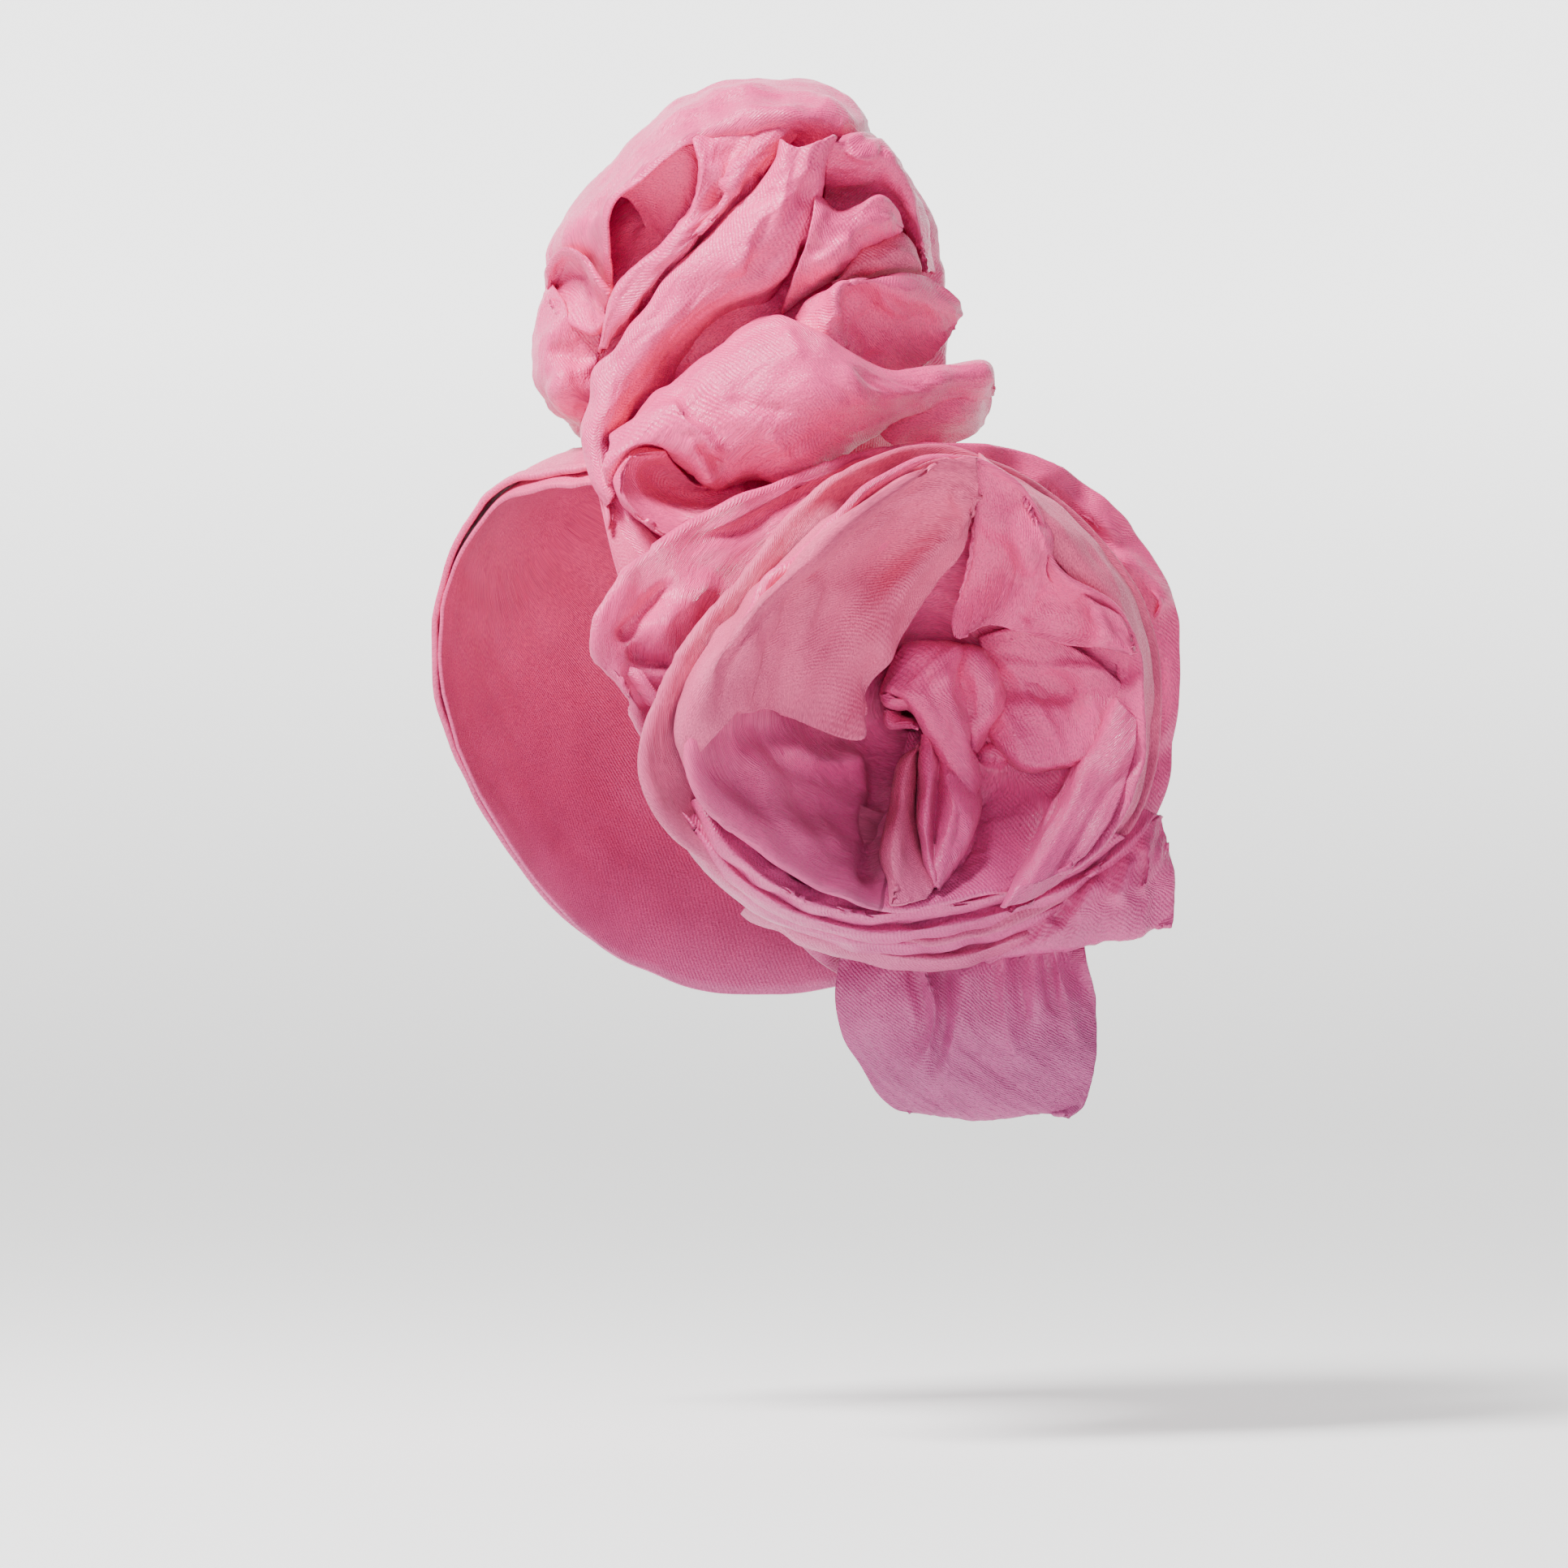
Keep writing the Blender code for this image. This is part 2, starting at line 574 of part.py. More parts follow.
def rosette_roll(stops, along, around):
    """A wound roll that lies in the bowl: a closed ring at each stop along its path."""
    table = columns(stops)
    fine = np.linspace(0, len(table) - 1, along)
    across, up, stand, wide, deep = (
        spline(np.arange(len(table)), table[:, k], fine) * ROSETTE_RADIUS for k in range(5)
    )
    floor = layer_level(ROSETTE_LAYERS[0], np.hypot(across, up), np.degrees(np.arctan2(up, across)))
    centre = on_rosette(across, up, floor + stand + deep + CLEAR)
    side, out = frame_along(centre)
    angle = np.linspace(0, 2 * np.pi, around, endpoint=False)
    return (
        centre[:, None, :]
        + side[:, None, :] * (wide[:, None] * np.cos(angle))[..., None]
        + out[:, None, :] * (deep[:, None] * np.sin(angle))[..., None]
    )


def loft(lines, along, steps):
    """A sheet through lines of places, smooth both ways."""
    half = CROWN_WIDTH / 2
    fine = np.linspace(0, 1, along)
    rows = [spline(np.linspace(0, 1, len(line)), columns(line), fine) for line in lines]
    net = spline(np.linspace(0, 1, len(rows)), np.array(rows), np.linspace(0, 1, steps))
    return dressed(
        CROWN_OFFSET + net[..., 0] * half, net[..., 1] * CROWN_HEIGHT, net[..., 2] * CROWN_DEPTH / 2
    )


def flat_loop(sections, around, steps, place, heading, size, wall):
    """The outer and inner faces of a flattened loop of cloth, open at its sewn end and folded at the other.

    Each section is a flat oval across the heading. The inner face is drawn in by the wall. The place is
    across and up from the rosette's centre, in shares of its radius, and toward."""
    table = columns(sections)
    fine = np.linspace(0, 1, steps)
    left, right, thick = (spline(table[:, 0], table[:, k], fine)[:, None] for k in (1, 2, 3))
    length, width, depth = size
    angle = np.linspace(0, 2 * np.pi, around, endpoint=False)[None, :]
    faces = []
    for inset in (0.0, wall):
        reach = (right - left) / 2 * width / 2 - inset
        middle = (right + left) / 2 * width / 2
        sideways = middle + reach * np.sign(np.cos(angle)) * np.abs(np.cos(angle)) ** LOOP_OVAL
        out = (thick * depth / 2 - inset) * np.sign(np.sin(angle)) * np.abs(np.sin(angle)) ** LOOP_OVAL
        along = fine[:, None] * (length - inset) + 0 * angle
        start_across = ROSETTE_ACROSS + place[0] * ROSETTE_RADIUS
        start_up = place[1] * ROSETTE_RADIUS - ROSETTE_DROP
        across = start_across + along * math.cos(heading) - sideways * math.sin(heading)
        up = start_up + along * math.sin(heading) + sideways * math.cos(heading)
        faces.append(dressed(across, up, place[2] + out))
    return faces


def satin(name, colour):
    """The piece's own satin."""
    cloth = bpy.data.materials.new(name + "_satin")
    cloth.use_nodes = True
    shader = cloth.node_tree.nodes["Principled BSDF"]
    shader.inputs["Base Color"].default_value = (*colour, 1)
    shader.inputs["Roughness"].default_value = SATIN_ROUGHNESS
    shader.inputs["Metallic"].default_value = 0.0
    return cloth


def mesh_object(name, vertices, faces):
    """One named object with its own satin, its faces turned out."""
    mesh = bpy.data.meshes.new(name)
    mesh.from_pydata(np.asarray(vertices).reshape(-1, 3).tolist(), [], faces)
    mesh.materials.append(satin(name, SATIN_PINK))
    mesh.shade_smooth()
    piece = bpy.data.objects.new(name, mesh)
    bpy.context.scene.collection.objects.link(piece)
    return piece


def grid_faces(rows, across, ring=False, wrap=False, start=0):
    """Quads of a grid of rows x across points. A ring closes over its rows, a wrap over its columns."""
    faces = []
    for i in range(rows if ring else rows - 1):
        for j in range(across if wrap else across - 1):
            i2, j2 = (i + 1) % rows, (j + 1) % across
            here, there = start + i * across, start + i2 * across
            faces.append((here + j, there + j, there + j2, here + j2))
    return faces


def settle(piece):
    """Applies the piece's modifiers, keeps its largest body and turns its faces out."""
    graph = bpy.context.evaluated_depsgraph_get()
    mesh = bpy.data.meshes.new_from_object(piece.evaluated_get(graph))
    piece.modifiers.clear()
    piece.data = mesh
    work = bmesh.new()
    work.from_mesh(mesh)
    left = set(work.verts)
    bodies = []
    while left:
        body, edge = set(), [left.pop()]
        while edge:
            vertex = edge.pop()
            body.add(vertex)
            near = {e.other_vert(vertex) for e in vertex.link_edges} & left
            left -= near
            edge.extend(near)
        bodies.append(body)
    keep = max(bodies, key=len)
    bmesh.ops.delete(work, geom=[v for v in work.verts if v not in keep], context="VERTS")
    bmesh.ops.recalc_face_normals(work, faces=work.faces)
    work.to_mesh(mesh)
    work.free()


def sheet(name, grid, wall, behind, ring=False, pole=None):
    """Cloth of one wall from a grid of its outer face, which looks away from the point behind it.

    A pole closes the last column of a ring."""
    rows, across = grid.shape[:2]
    points = grid.reshape(-1, 3)
    faces = grid_faces(rows, across, ring=ring)
    if pole is not None:
        last, first = len(points), across - 1
        points = np.concatenate([points, pole.reshape(1, 3)])
        faces += [(i * across + first, ((i + 1) % rows) * across + first, last) for i in range(rows)]
    piece = mesh_object(name, points, faces)
    away = Vector(behind)
    looks_out = sum((face.center - away).dot(face.normal) * face.area for face in piece.data.polygons)
    if looks_out < 0:
        piece.data.flip_normals()
    wall_of = piece.modifiers.new("wall", "SOLIDIFY")
    wall_of.thickness = wall
    wall_of.offset = -1
    wall_of.use_quality_normals = True
    settle(piece)
    return piece


def tube(name, grid):
    """A wound roll from a grid of rings, with both ends closed."""
    rows, around = grid.shape[:2]
    faces = grid_faces(rows, around, wrap=True)
    faces.append(tuple(range(around)))
    faces.append(tuple((rows - 1) * around + k for k in reversed(range(around))))
    piece = mesh_object(name, grid, faces)
    settle(piece)
    return piece


def pouch(name, outer, inner):
    """A flattened loop: outer and inner faces, joined at the open end and each closed at the folded end."""
    rows, around = outer.shape[:2]
    count = rows * around
    faces = grid_faces(rows, around, wrap=True)
    faces += [face[::-1] for face in grid_faces(rows, around, wrap=True, start=count)]
    for k in range(around):
        k2 = (k + 1) % around
        faces.append((k, k2, count + k2, count + k))
    faces.append(tuple((rows - 1) * around + k for k in range(around)))
    faces.append(tuple(count + (rows - 1) * around + k for k in reversed(range(around))))
    piece = mesh_object(name, np.concatenate([outer, inner]), faces)
    settle(piece)
    return piece


def cut_away(piece, other, swell):
    """Cuts the other piece, swollen along its vertex normals, out of this one."""
    mesh = other.data.copy()
    normals = np.array([vertex.normal for vertex in mesh.vertices])
    points = np.array([vertex.co for vertex in mesh.vertices]) + normals * swell
    mesh.vertices.foreach_set("co", points.ravel())
    cutter = bpy.data.objects.new("cutter", mesh)
    bpy.context.scene.collection.objects.link(cutter)
    cut = piece.modifiers.new("gap", "BOOLEAN")
    cut.operation = "DIFFERENCE"
    cut.solver = "MANIFOLD"
    cut.object = cutter
    settle(piece)
    bpy.data.objects.remove(cutter)


def trim(piece, others):
    """Cuts the piece back so that it keeps its gap to each piece that it lies on."""
    for other in others:
        cut_away(piece, other, CLEAR)


def make_cap():
    """The fitted cap, open below."""
    top = head_point(0.0, 0.0, CAP_EASE + CAP_WALL)
    grid = cap_grid(32, 9)[:, ::-1]
    return sheet("cap", grid, CAP_WALL, HEAD_MIDDLE, ring=True, pole=top)


def make_brow_band():
    """The second layer over the forehead, a little above the cap's edge."""
    turn = np.linspace(BAND_START, BAND_END, 20)[:, None]
    table = columns(CAP_EDGE)
    low = spline(table[:, 0], table[:, 1], turn, 360) - BAND_STEP
    high = np.maximum(BAND_TOP, low - BAND_WIDTH)
    drop = low + (high - low) * np.linspace(0, 1, 8)[None, :]
    grid = head_point(turn, drop, CAP_EASE + CAP_WALL + LAYER_GAP + BAND_WALL)
    return sheet("brow_band", grid, BAND_WALL, HEAD_MIDDLE)


def make_crown():
    """The crown puff, open below: its outer and its inner face, joined at the foot."""
    around, rows = 35, 15
    points, faces = [], []
    for inset in (0.0, CROWN_WALL):
        start = sum(len(part) for part in points)
        top = crown_base(0.0, 1.0) - (0.0, 0.0, inset)
        points.append(np.concatenate([crown_grid(around, rows, inset).reshape(-1, 3), top.reshape(1, 3)]))
        face = grid_faces(around, rows, ring=True, start=start)
        last, pole = start + rows - 1, start + around * rows
        face += [(last + i * rows, last + ((i + 1) % around) * rows, pole) for i in range(around)]
        faces += [corners[::-1] for corners in face] if inset else face
    for i in range(around):
        here, there = i * rows, ((i + 1) % around) * rows
        faces.append((there, here, start + here, start + there))
    piece = mesh_object("crown_puff", np.concatenate(points), faces)
    settle(piece)
    return piece


def roll_sheet(name, grid):
    """A roll of cloth of one wall, wound about its own middle."""
    return sheet(name, grid, ROLL_WALL, grid.reshape(-1, 3).mean(axis=0))


def main():
    for old in list(bpy.data.objects):
        bpy.data.objects.remove(old)
    cap = make_cap()
    band = make_brow_band()
    crown = make_crown()
    long_roll = roll_sheet("long_roll", sweep(LONG_ROLL, 9, 16, LONG_ROLL_START, LONG_ROLL_END))
    scroll_grid = sweep(FRONT_SCROLL, 17, 13, SCROLL_START, SCROLL_END, SCROLL_DRAWN_IN)
    scroll = roll_sheet("front_scroll", scroll_grid)
    leaf = sheet("side_leaf", loft(SIDE_LEAF, 9, 6), ROLL_WALL, FAR_BEHIND)
    lobe = sheet("under_lobe", loft(UNDER_LOBE, 8, 6), ROLL_WALL, FAR_BEHIND)
    bowl, middle, outer = (
        sheet(layer.name, layer_grid(layer, 36, 5), ROSETTE_WALL, FAR_BEHIND, ring=True)
        for layer in ROSETTE_LAYERS
    )
    left = sheet("rosette_left_petal", petal_grid(LEFT_PETAL, 13, 4), PETAL_WALL, FAR_BEHIND)
    right = sheet("rosette_right_petal", petal_grid(RIGHT_PETAL, 10, 4), PETAL_WALL, FAR_BEHIND)
    knot = tube("rosette_knot", rosette_roll(KNOT, 12, 10))
    twist = tube("rosette_twist", rosette_roll(TWIST, 12, 10))
    tail = pouch("tail_loop", *flat_loop(
        TAIL_SECTIONS, 16, 7, (TAIL_ACROSS, -TAIL_UNDER, TAIL_TOWARD), TAIL_HEADING,
        (TAIL_LENGTH, TAIL_WIDTH, TAIL_THICK), LOOP_WALL,
    ))
    wing = pouch("wing_loop", *flat_loop(
        WING_SECTIONS, 16, 6, (WING_ACROSS, -WING_UNDER, WING_TOWARD), WING_HEADING,
        (WING_LENGTH, WING_WIDTH, WING_THICK), LOOP_WALL,
    ))
    trim(band, [cap])
    trim(crown, [cap, band])
    trim(long_roll, [cap, band, crown])
    trim(scroll, [cap, band, crown, long_roll])
    trim(leaf, [crown, scroll, long_roll])
    trim(lobe, [cap, crown, scroll, leaf])
    trim(outer, [cap, band, crown, long_roll, scroll, lobe])
    trim(middle, [bowl, outer])
    trim(knot, [bowl])
    trim(twist, [bowl, knot])
    trim(left, [bowl, knot, twist])
    trim(right, [bowl, left, knot])
    trim(wing, [cap, outer, middle])
    trim(tail, [cap, outer, middle, wing])


main()
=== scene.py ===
"""The looks of a tied gele head tie: pink satin, wound, folded and pinned into a crown and a rosette.

Metres, +Z up. The front is -Y, and the origin is the top of the cap's hollow. Most sheets are laid out in the
dressed frame, in millimetres: across (to the right in the photographed view, which is 50 degrees round from
the front), up, and toward (out to the viewer).
"""
import math
from collections import namedtuple

import bpy
import numpy as np
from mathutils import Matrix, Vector


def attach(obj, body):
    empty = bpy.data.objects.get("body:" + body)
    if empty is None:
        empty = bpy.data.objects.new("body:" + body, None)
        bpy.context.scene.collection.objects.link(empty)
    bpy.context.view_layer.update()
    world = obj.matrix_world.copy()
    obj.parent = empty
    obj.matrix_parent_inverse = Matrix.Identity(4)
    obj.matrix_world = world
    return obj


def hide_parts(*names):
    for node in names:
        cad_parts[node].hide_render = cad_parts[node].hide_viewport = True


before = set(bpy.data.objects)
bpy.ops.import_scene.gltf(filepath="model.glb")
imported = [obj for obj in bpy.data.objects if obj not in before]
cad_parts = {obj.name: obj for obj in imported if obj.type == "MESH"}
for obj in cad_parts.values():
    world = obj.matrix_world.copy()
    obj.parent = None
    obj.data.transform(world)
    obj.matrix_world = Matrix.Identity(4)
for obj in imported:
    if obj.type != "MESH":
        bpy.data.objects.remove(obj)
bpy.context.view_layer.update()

MM = 0.001
DRESS_TURN = math.radians(50)

# The camera: where the middle of the picture falls, the distance and the width that the picture shows
PICTURE_MIDDLE = (31.08, -117.88, 0.0)
PICTURE_WIDTH = 540.96
CAMERA_DISTANCE = 3.0
SENSOR = 36.0

# Cap: the sizes of its hollow, the ease and the wall over it, the drops by which the ease is full at the sides
# and gone at the top, the turn of its seam, its rows, which come closer together at the top, and its cloth
CAP_BREADTH = 150.0
CAP_LENGTH = 190.0
CAP_DEPTH = 192.0
CAP_EASE = 1.0
CAP_WALL = 1.8
TOP_DROP = 0.04
SIDE_DROP = 0.35
CAP_SEAM = 50
CAP_AROUND = 200
CAP_ROWS = 61
ROW_POWER = 1.25
CAP_CLOTH = 1.3
CAP_MIDDLE = (0.0, 0.0, -CAP_DEPTH / 2)

# Brow band: its two ends in degrees of turn, and as shares of the cap's depth how much of the cap shows below
# it, how high it reaches over its lower side and its highest place. Then its rows, and lengths in millimetres.
BAND_TURNS = (-115, 36)
BAND_SHOWN = 0.019
BAND_REACH = 0.30
BAND_TOP = 0.030
BAND_ROWS = 24
BAND_ALONG = 120
BAND_STAND = 1.4
BAND_HEM = 0.5
BAND_HEM_DEPTH = 3.0
BAND_CLOTH = 0.7

# Crown puff: its sizes, the height of its seat on the cap and the seat's fall toward the cap's sides, how far
# its plain cloth is sunk behind the folded sheets, over which shares of its rise this and the folds fade, its
# noise as size, seed and length, and the folds' steps, their ends, and the powers of their taper and round
CROWN_WIDTH = 145.0
CROWN_DEPTH = 124.0
CROWN_HEIGHT = 124.5
CROWN_OFFSET = 17.6
CROWN_SEAT = 6.0
CROWN_SEAT_FALL = 34.0
CROWN_SUNK = 14.0
CROWN_MIDDLE = (0, 0, 40)
SUNK_FADE = 0.2
CROWN_FADE = (0.12, 0.06)
CROWN_WAVES = ((0.5, 3, 26.0), (0.22, 5, 9.0))
FOLD_STEPS = 60
FOLD_END = 0.04
FOLD_TAPER = 0.35
FOLD_ROUND = 0.8

# Rosette: its size and place, its slanted seat, the bowl and the neck that joins it to the cap
ROSETTE_RADIUS = 90.0
ROSETTE_ACROSS = 74.2
ROSETTE_DROP = 91.0
ROSETTE_SEAT = 50.0
ROSETTE_SLANT = 0.50
BOWL_LIFT = 50.0
BOWL_FLOOR = 0.18
LAYER_GAP = 2.6
LAYER_AROUND = 320
NECK_SHIFT = 22.0
NECK_RADIUS = 27.0
NECK_GAP = 0.6
NECK_ROWS = 7

# The walls of most sheets and of the two loops
PLY = 1.1
LOOP_CLOTH = 0.9

# The angle of the seam in each layer of the rosette, under the twist
SEAM_ANGLE = 262

# Soft rims: the section as steps away from the rosette's centre and rises, how far the ends sink, how soon
# they do, and the share of the section's rises that is left at the last end
RIM_PROFILE = ((-5.5, -5.0), (-1.8, -2.2), (0.0, 0.0), (1.4, -1.2), (3.2, -5.0), (4.4, -11.0))
RIM_SINK = 14.0
RIM_FADE = 6
RIM_END = 0.3

# Rolled edges: rows in the half turn and in the part that runs back, its depth, and the radius by the angle
# round the rosette
TURN_ROWS = 7
BACK_ROWS = 5
ROLL_DEPTH = 9.0
ROLL_RADII = ((0, 1.0), (90, 1.2), (130, 2.6), (210, 2.6), (260, 1.5), (360, 1.0))

# Creases: places along a path, the share of the path over which the ends fade, and how narrow the bell is
PATH_STEPS = 40
CREASE_FADE = 0.25
CREASE_BELL = 1.4

# Noise by sine waves: how many, how much their wavelengths differ, and how much and over what length they are
# bent, as shares of the wavelength
WAVE_COUNT = 14
LENGTH_SPREAD = 0.6
BEND_SIZE = 0.35
BEND_LENGTH = 2.3

# Crumpled cloth: the length of its soft waves, its ridges as what is added to the seed and their width, the
# level that they are measured from, the share of the short ones, and how much longer they are along the cloth
WAVE_SIZE = 34.0
RIDGES = ((7, 17.0), (9, 8.0))
RIDGE_LEVEL = 0.6
SHORT_SHARE = 0.5
CLOTH_STRETCH = 2.4

# The noise of each group of sheets: the first one's seed, and the sizes of the ridges and of the waves
Noise = namedtuple("Noise", "seed fine broad")
CAP_NOISE = Noise(11, 0.10, 0.25)
BAND_NOISE = Noise(12, 0.12, 0.3)
SHEET_NOISE = Noise(21, 0.36, 0.7)
LAYER_NOISE = Noise(41, 0.24, 0.9)
INNER_NOISE = Noise(51, 0.28, 0.5)
PETAL_NOISE = Noise(51, 0.28, 1.2)
LOOP_NOISE = Noise(61, 0.3, 0.8)

# Satins: the colour in the upper part and the lower one, a darker lilac that is a painted sheen, the
# roughness and the depth of the crinkles
Satin = namedtuple("Satin", "name upper lower rough crush")
SATINS = {
    "front": Satin("woven_satin", "EE4488", "A8447C", 0.36, 0.9),
    "reverse": Satin("woven_satin_reverse", "E04E80", "AC4A7A", 0.55, 0.7),
    "smooth": Satin("stretched_satin", "E84684", "B04A80", 0.45, 0.1),
}
REVERSE_SHEETS = (
    "rosette_left_petal", "rosette_petal_band", "rosette_middle", "crown_right_tuck", "rosette_twist_band",
    "rosette_low_rim_2", "rosette_rim_band",
)

# The heights in metres between which the satin's colour changes into a painted lilac sheen lower down, the
# mottle, the twill of 1.1 mm lines, and the specks of 0.7 mm with how they change the colour and the
# roughness, the shinier ones painted brighter as glints, and the depth of both in metres
SHEEN_TINT_HEIGHTS = (-0.05, -0.21)
MOTTLE_SCALE = 45.0
MOTTLE_RANGE = (0.3, 0.7)
MOTTLE_SHADES = (0.90, 1.10)
TWILL_SLANT = math.radians(38)
TWILL_SCALE = 285.0
TWILL_SHARE = 0.35
SPECK_SCALE = 1500.0
SPECK_RANGE = (0.35, 0.65)
SPECK_TONE_AND_GLINT = (0.80, 1.20)
SPECK_DULL = 0.16
SPECK_SHINE = 0.14
WEAVE_DEPTH = 0.0003

# Crinkles about 6 mm and 1.6 mm wide, twice as long along the cloth as across it: lumps per metre, the
# noise's values, the strength and the depth in metres
Crinkle = namedtuple("Crinkle", "scale detail roughness distortion strength depth")
CRINKLES = (Crinkle(170.0, 4.0, 0.5, 1.4, 0.5, 0.0018), Crinkle(620.0, 3.0, 0.6, 0.6, 0.45, 0.0006))
CRINKLE_DRAWN = (0.45, 1.0, 1.0)

# The floor and the wall that it curves up into, in metres along the view, and how they glow from the floor's
# level up to a height
FLOOR_LEVEL = -0.34
FLOOR_FRONT = -4.0
FLOOR_BACK = 3.2
FLOOR_BEND = 1.2
FLOOR_HALF = 5.0
WALL_TOP = 4.0
GLOW_HEIGHT = 0.2
FLOOR_GLOW = (0.4, 2.6)

# Lamps: turn and rise round the part in degrees, power in watts and size in metres
Lamp = namedtuple("Lamp", "name turn rise power size")
LAMPS = (
    Lamp("key", 2, 54, 62.0, 0.40),
    Lamp("fill", 92, 24, 2.4, 0.8),
    Lamp("front", 46, 10, 4.0, 0.7),
)
LAMP_AIM = (30.0, -45.0, 0.0)
LAMP_DISTANCE = 1.5
WORLD_LIGHT = 0.07

# The cap's hollow, top to bottom: the drop as a share of its depth, and shares of its half breadth and half
# length, with its shift to the back
Section = namedtuple("Section", "drop breadth length back")
CAP_SECTIONS = (
    Section(0.000, 0.00, 0.00, 0.00),
    Section(0.010, 0.25, 0.25, 0.00),
    Section(0.040, 0.48, 0.48, 0.00),
    Section(0.090, 0.68, 0.68, 0.00),
    Section(0.160, 0.83, 0.83, 0.00),
    Section(0.260, 0.94, 0.94, 0.00),
    Section(0.400, 1.00, 1.00, 0.00),
    Section(0.540, 0.98, 0.99, 0.01),
    Section(0.680, 0.91, 0.93, 0.03),
    Section(0.820, 0.80, 0.82, 0.06),
    Section(0.920, 0.71, 0.71, 0.09),
    Section(1.000, 0.66, 0.64, 0.11),
)

# The cap's edge: its drop as a share of the cap's depth, by the turn in degrees from the front
Edge = namedtuple("Edge", "turn drop")
CAP_EDGE = (
    Edge(0, 0.103),
    Edge(15, 0.098),
    Edge(27, 0.105),
    Edge(34, 0.170),
    Edge(42, 0.300),
    Edge(55, 0.560),
    Edge(73, 0.810),
    Edge(109, 0.975),
    Edge(145, 1.000),
    Edge(180, 0.980),
    Edge(215, 1.000),
    Edge(251, 0.975),
    Edge(287, 0.810),
    Edge(305, 0.560),
    Edge(318, 0.330),
    Edge(332, 0.170),
)

# Crown outline, bottom to top: shares of the crown's height, half width and half depth, and its lean
Ring = namedtuple("Ring", "up wide deep lean")
CROWN_RINGS = (
    Ring(0.00, 0.70, 0.80, 0.00),
    Ring(0.07, 0.80, 0.86, 0.00),
    Ring(0.17, 0.88, 0.92, 0.00),
    Ring(0.28, 0.90, 0.94, 0.00),
    Ring(0.40, 0.86, 0.92, -0.02),
    Ring(0.52, 0.84, 0.90, -0.03),
    Ring(0.64, 0.76, 0.84, -0.03),
    Ring(0.75, 0.65, 0.74, -0.01),
    Ring(0.85, 0.50, 0.58, 0.04),
    Ring(0.92, 0.34, 0.38, 0.09),
    Ring(0.955, 0.17, 0.19, 0.12),
    Ring(0.965, 0.00, 0.00, 0.13),
)

# Folds of the crown behind: a path over its surface as (turn, height), with the lift and the half widths on
# its left and right sides, as shares of the crown's half width
Fold = namedtuple("Fold", "name lift left right path")
CROWN_FOLDS = (
    Fold("rim_back", 0.13, 0.30, 0.30, ((50, 0.92), (76, 0.74), (92, 0.56), (104, 0.36), (108, 0.14))),
    Fold("left_bag", 0.16, 0.24, 0.24, ((-84, 0.08), (-70, 0.18), (-60, 0.32))),
    Fold("back_sweep", 0.16, 0.24, 0.24, ((120, 0.86), (140, 0.60), (168, 0.38), (205, 0.18))),
    Fold("back_cross", 0.15, 0.22, 0.26, ((205, 0.84), (222, 0.62), (236, 0.40), (250, 0.12))),
    Fold("back_low", 0.15, 0.20, 0.22, ((112, 0.30), (140, 0.20), (170, 0.10))),
)

# Rosette: rim radii by angle (degrees, counterclockwise from the right as seen), shares of its radius
Rim = namedtuple("Rim", "angle outer middle bowl")
ROSETTE_RIMS = (
    Rim(0, 1.015, 0.940, 0.870),
    Rim(22, 1.080, 0.955, 0.850),
    Rim(45, 1.070, 0.940, 0.740),
    Rim(62, 1.050, 0.940, 0.880),
    Rim(80, 0.990, 0.962, 0.925),
    Rim(100, 0.950, 0.900, 0.815),
    Rim(121, 0.945, 0.815, 0.675),
    Rim(141, 1.040, 0.775, 0.660),
    Rim(158, 1.160, 0.815, 0.670),
    Rim(170, 1.180, 0.880, 0.695),
    Rim(185, 0.995, 0.965, 0.790),
    Rim(203, 0.930, 1.000, 0.830),
    Rim(220, 0.920, 0.930, 0.775),
    Rim(244, 0.930, 0.857, 0.730),
    Rim(266, 0.963, 0.870, 0.742),
    Rim(290, 1.000, 0.895, 0.745),
    Rim(315, 1.025, 0.930, 0.855),
    Rim(338, 1.025, 0.947, 0.890),
)
# Layers of the rosette: which rim each has, the radius of its sewn edge and the height of its rim as shares,
# the power of its rise and its rows
Layer = namedtuple("Layer", "name rim base high curve rows")
ROSETTE_LAYERS = (
    Layer("rosette_bowl", "bowl", 0.10, 1.00, 1.9, 84),
    Layer("rosette_middle", "middle", 0.42, 0.62, 1.5, 64),
    Layer("rosette_outer", "outer", 0.52, 0.26, 1.4, 64),
)

# Sheets as lines of places: each line runs along the fold, and the lines follow each other across it. The
# places were read in enlarged views of the photograph, in each view's own pixels. A view says how
# many millimetres one of its pixels is, and where its first one is, across and up. Toward, which no view
# shows, is in millimetres: in the rosette from the bowl's surface, and for its rims and the petal band from
# its seat.
View = namedtuple("View", "pixel across up")
CROWN_VIEW = View(0.11072, -60.2, 130.2)
ROSETTE_VIEW = View(0.13036, -35.0, 1.4)
RIM_VIEW = View(0.2271, -35.0, 1.4)
MOUTH_VIEW = View(0.09655, -37.8, 1.4)
KNOT_VIEW = View(0.1037, 57.4, -60.2)
WING_VIEW = View(0.07143, 57.4, -85.4)
TAIL_VIEW = View(0.09412, 23.8, -149.8)


def seen(view, *lines):
    """Lines of places read in a view, (x, y, toward), as (across, up, toward) in millimetres."""
    return [[(view.across + view.pixel * x, view.up - view.pixel * y, toward) for x, y, toward in line]
            for line in lines]


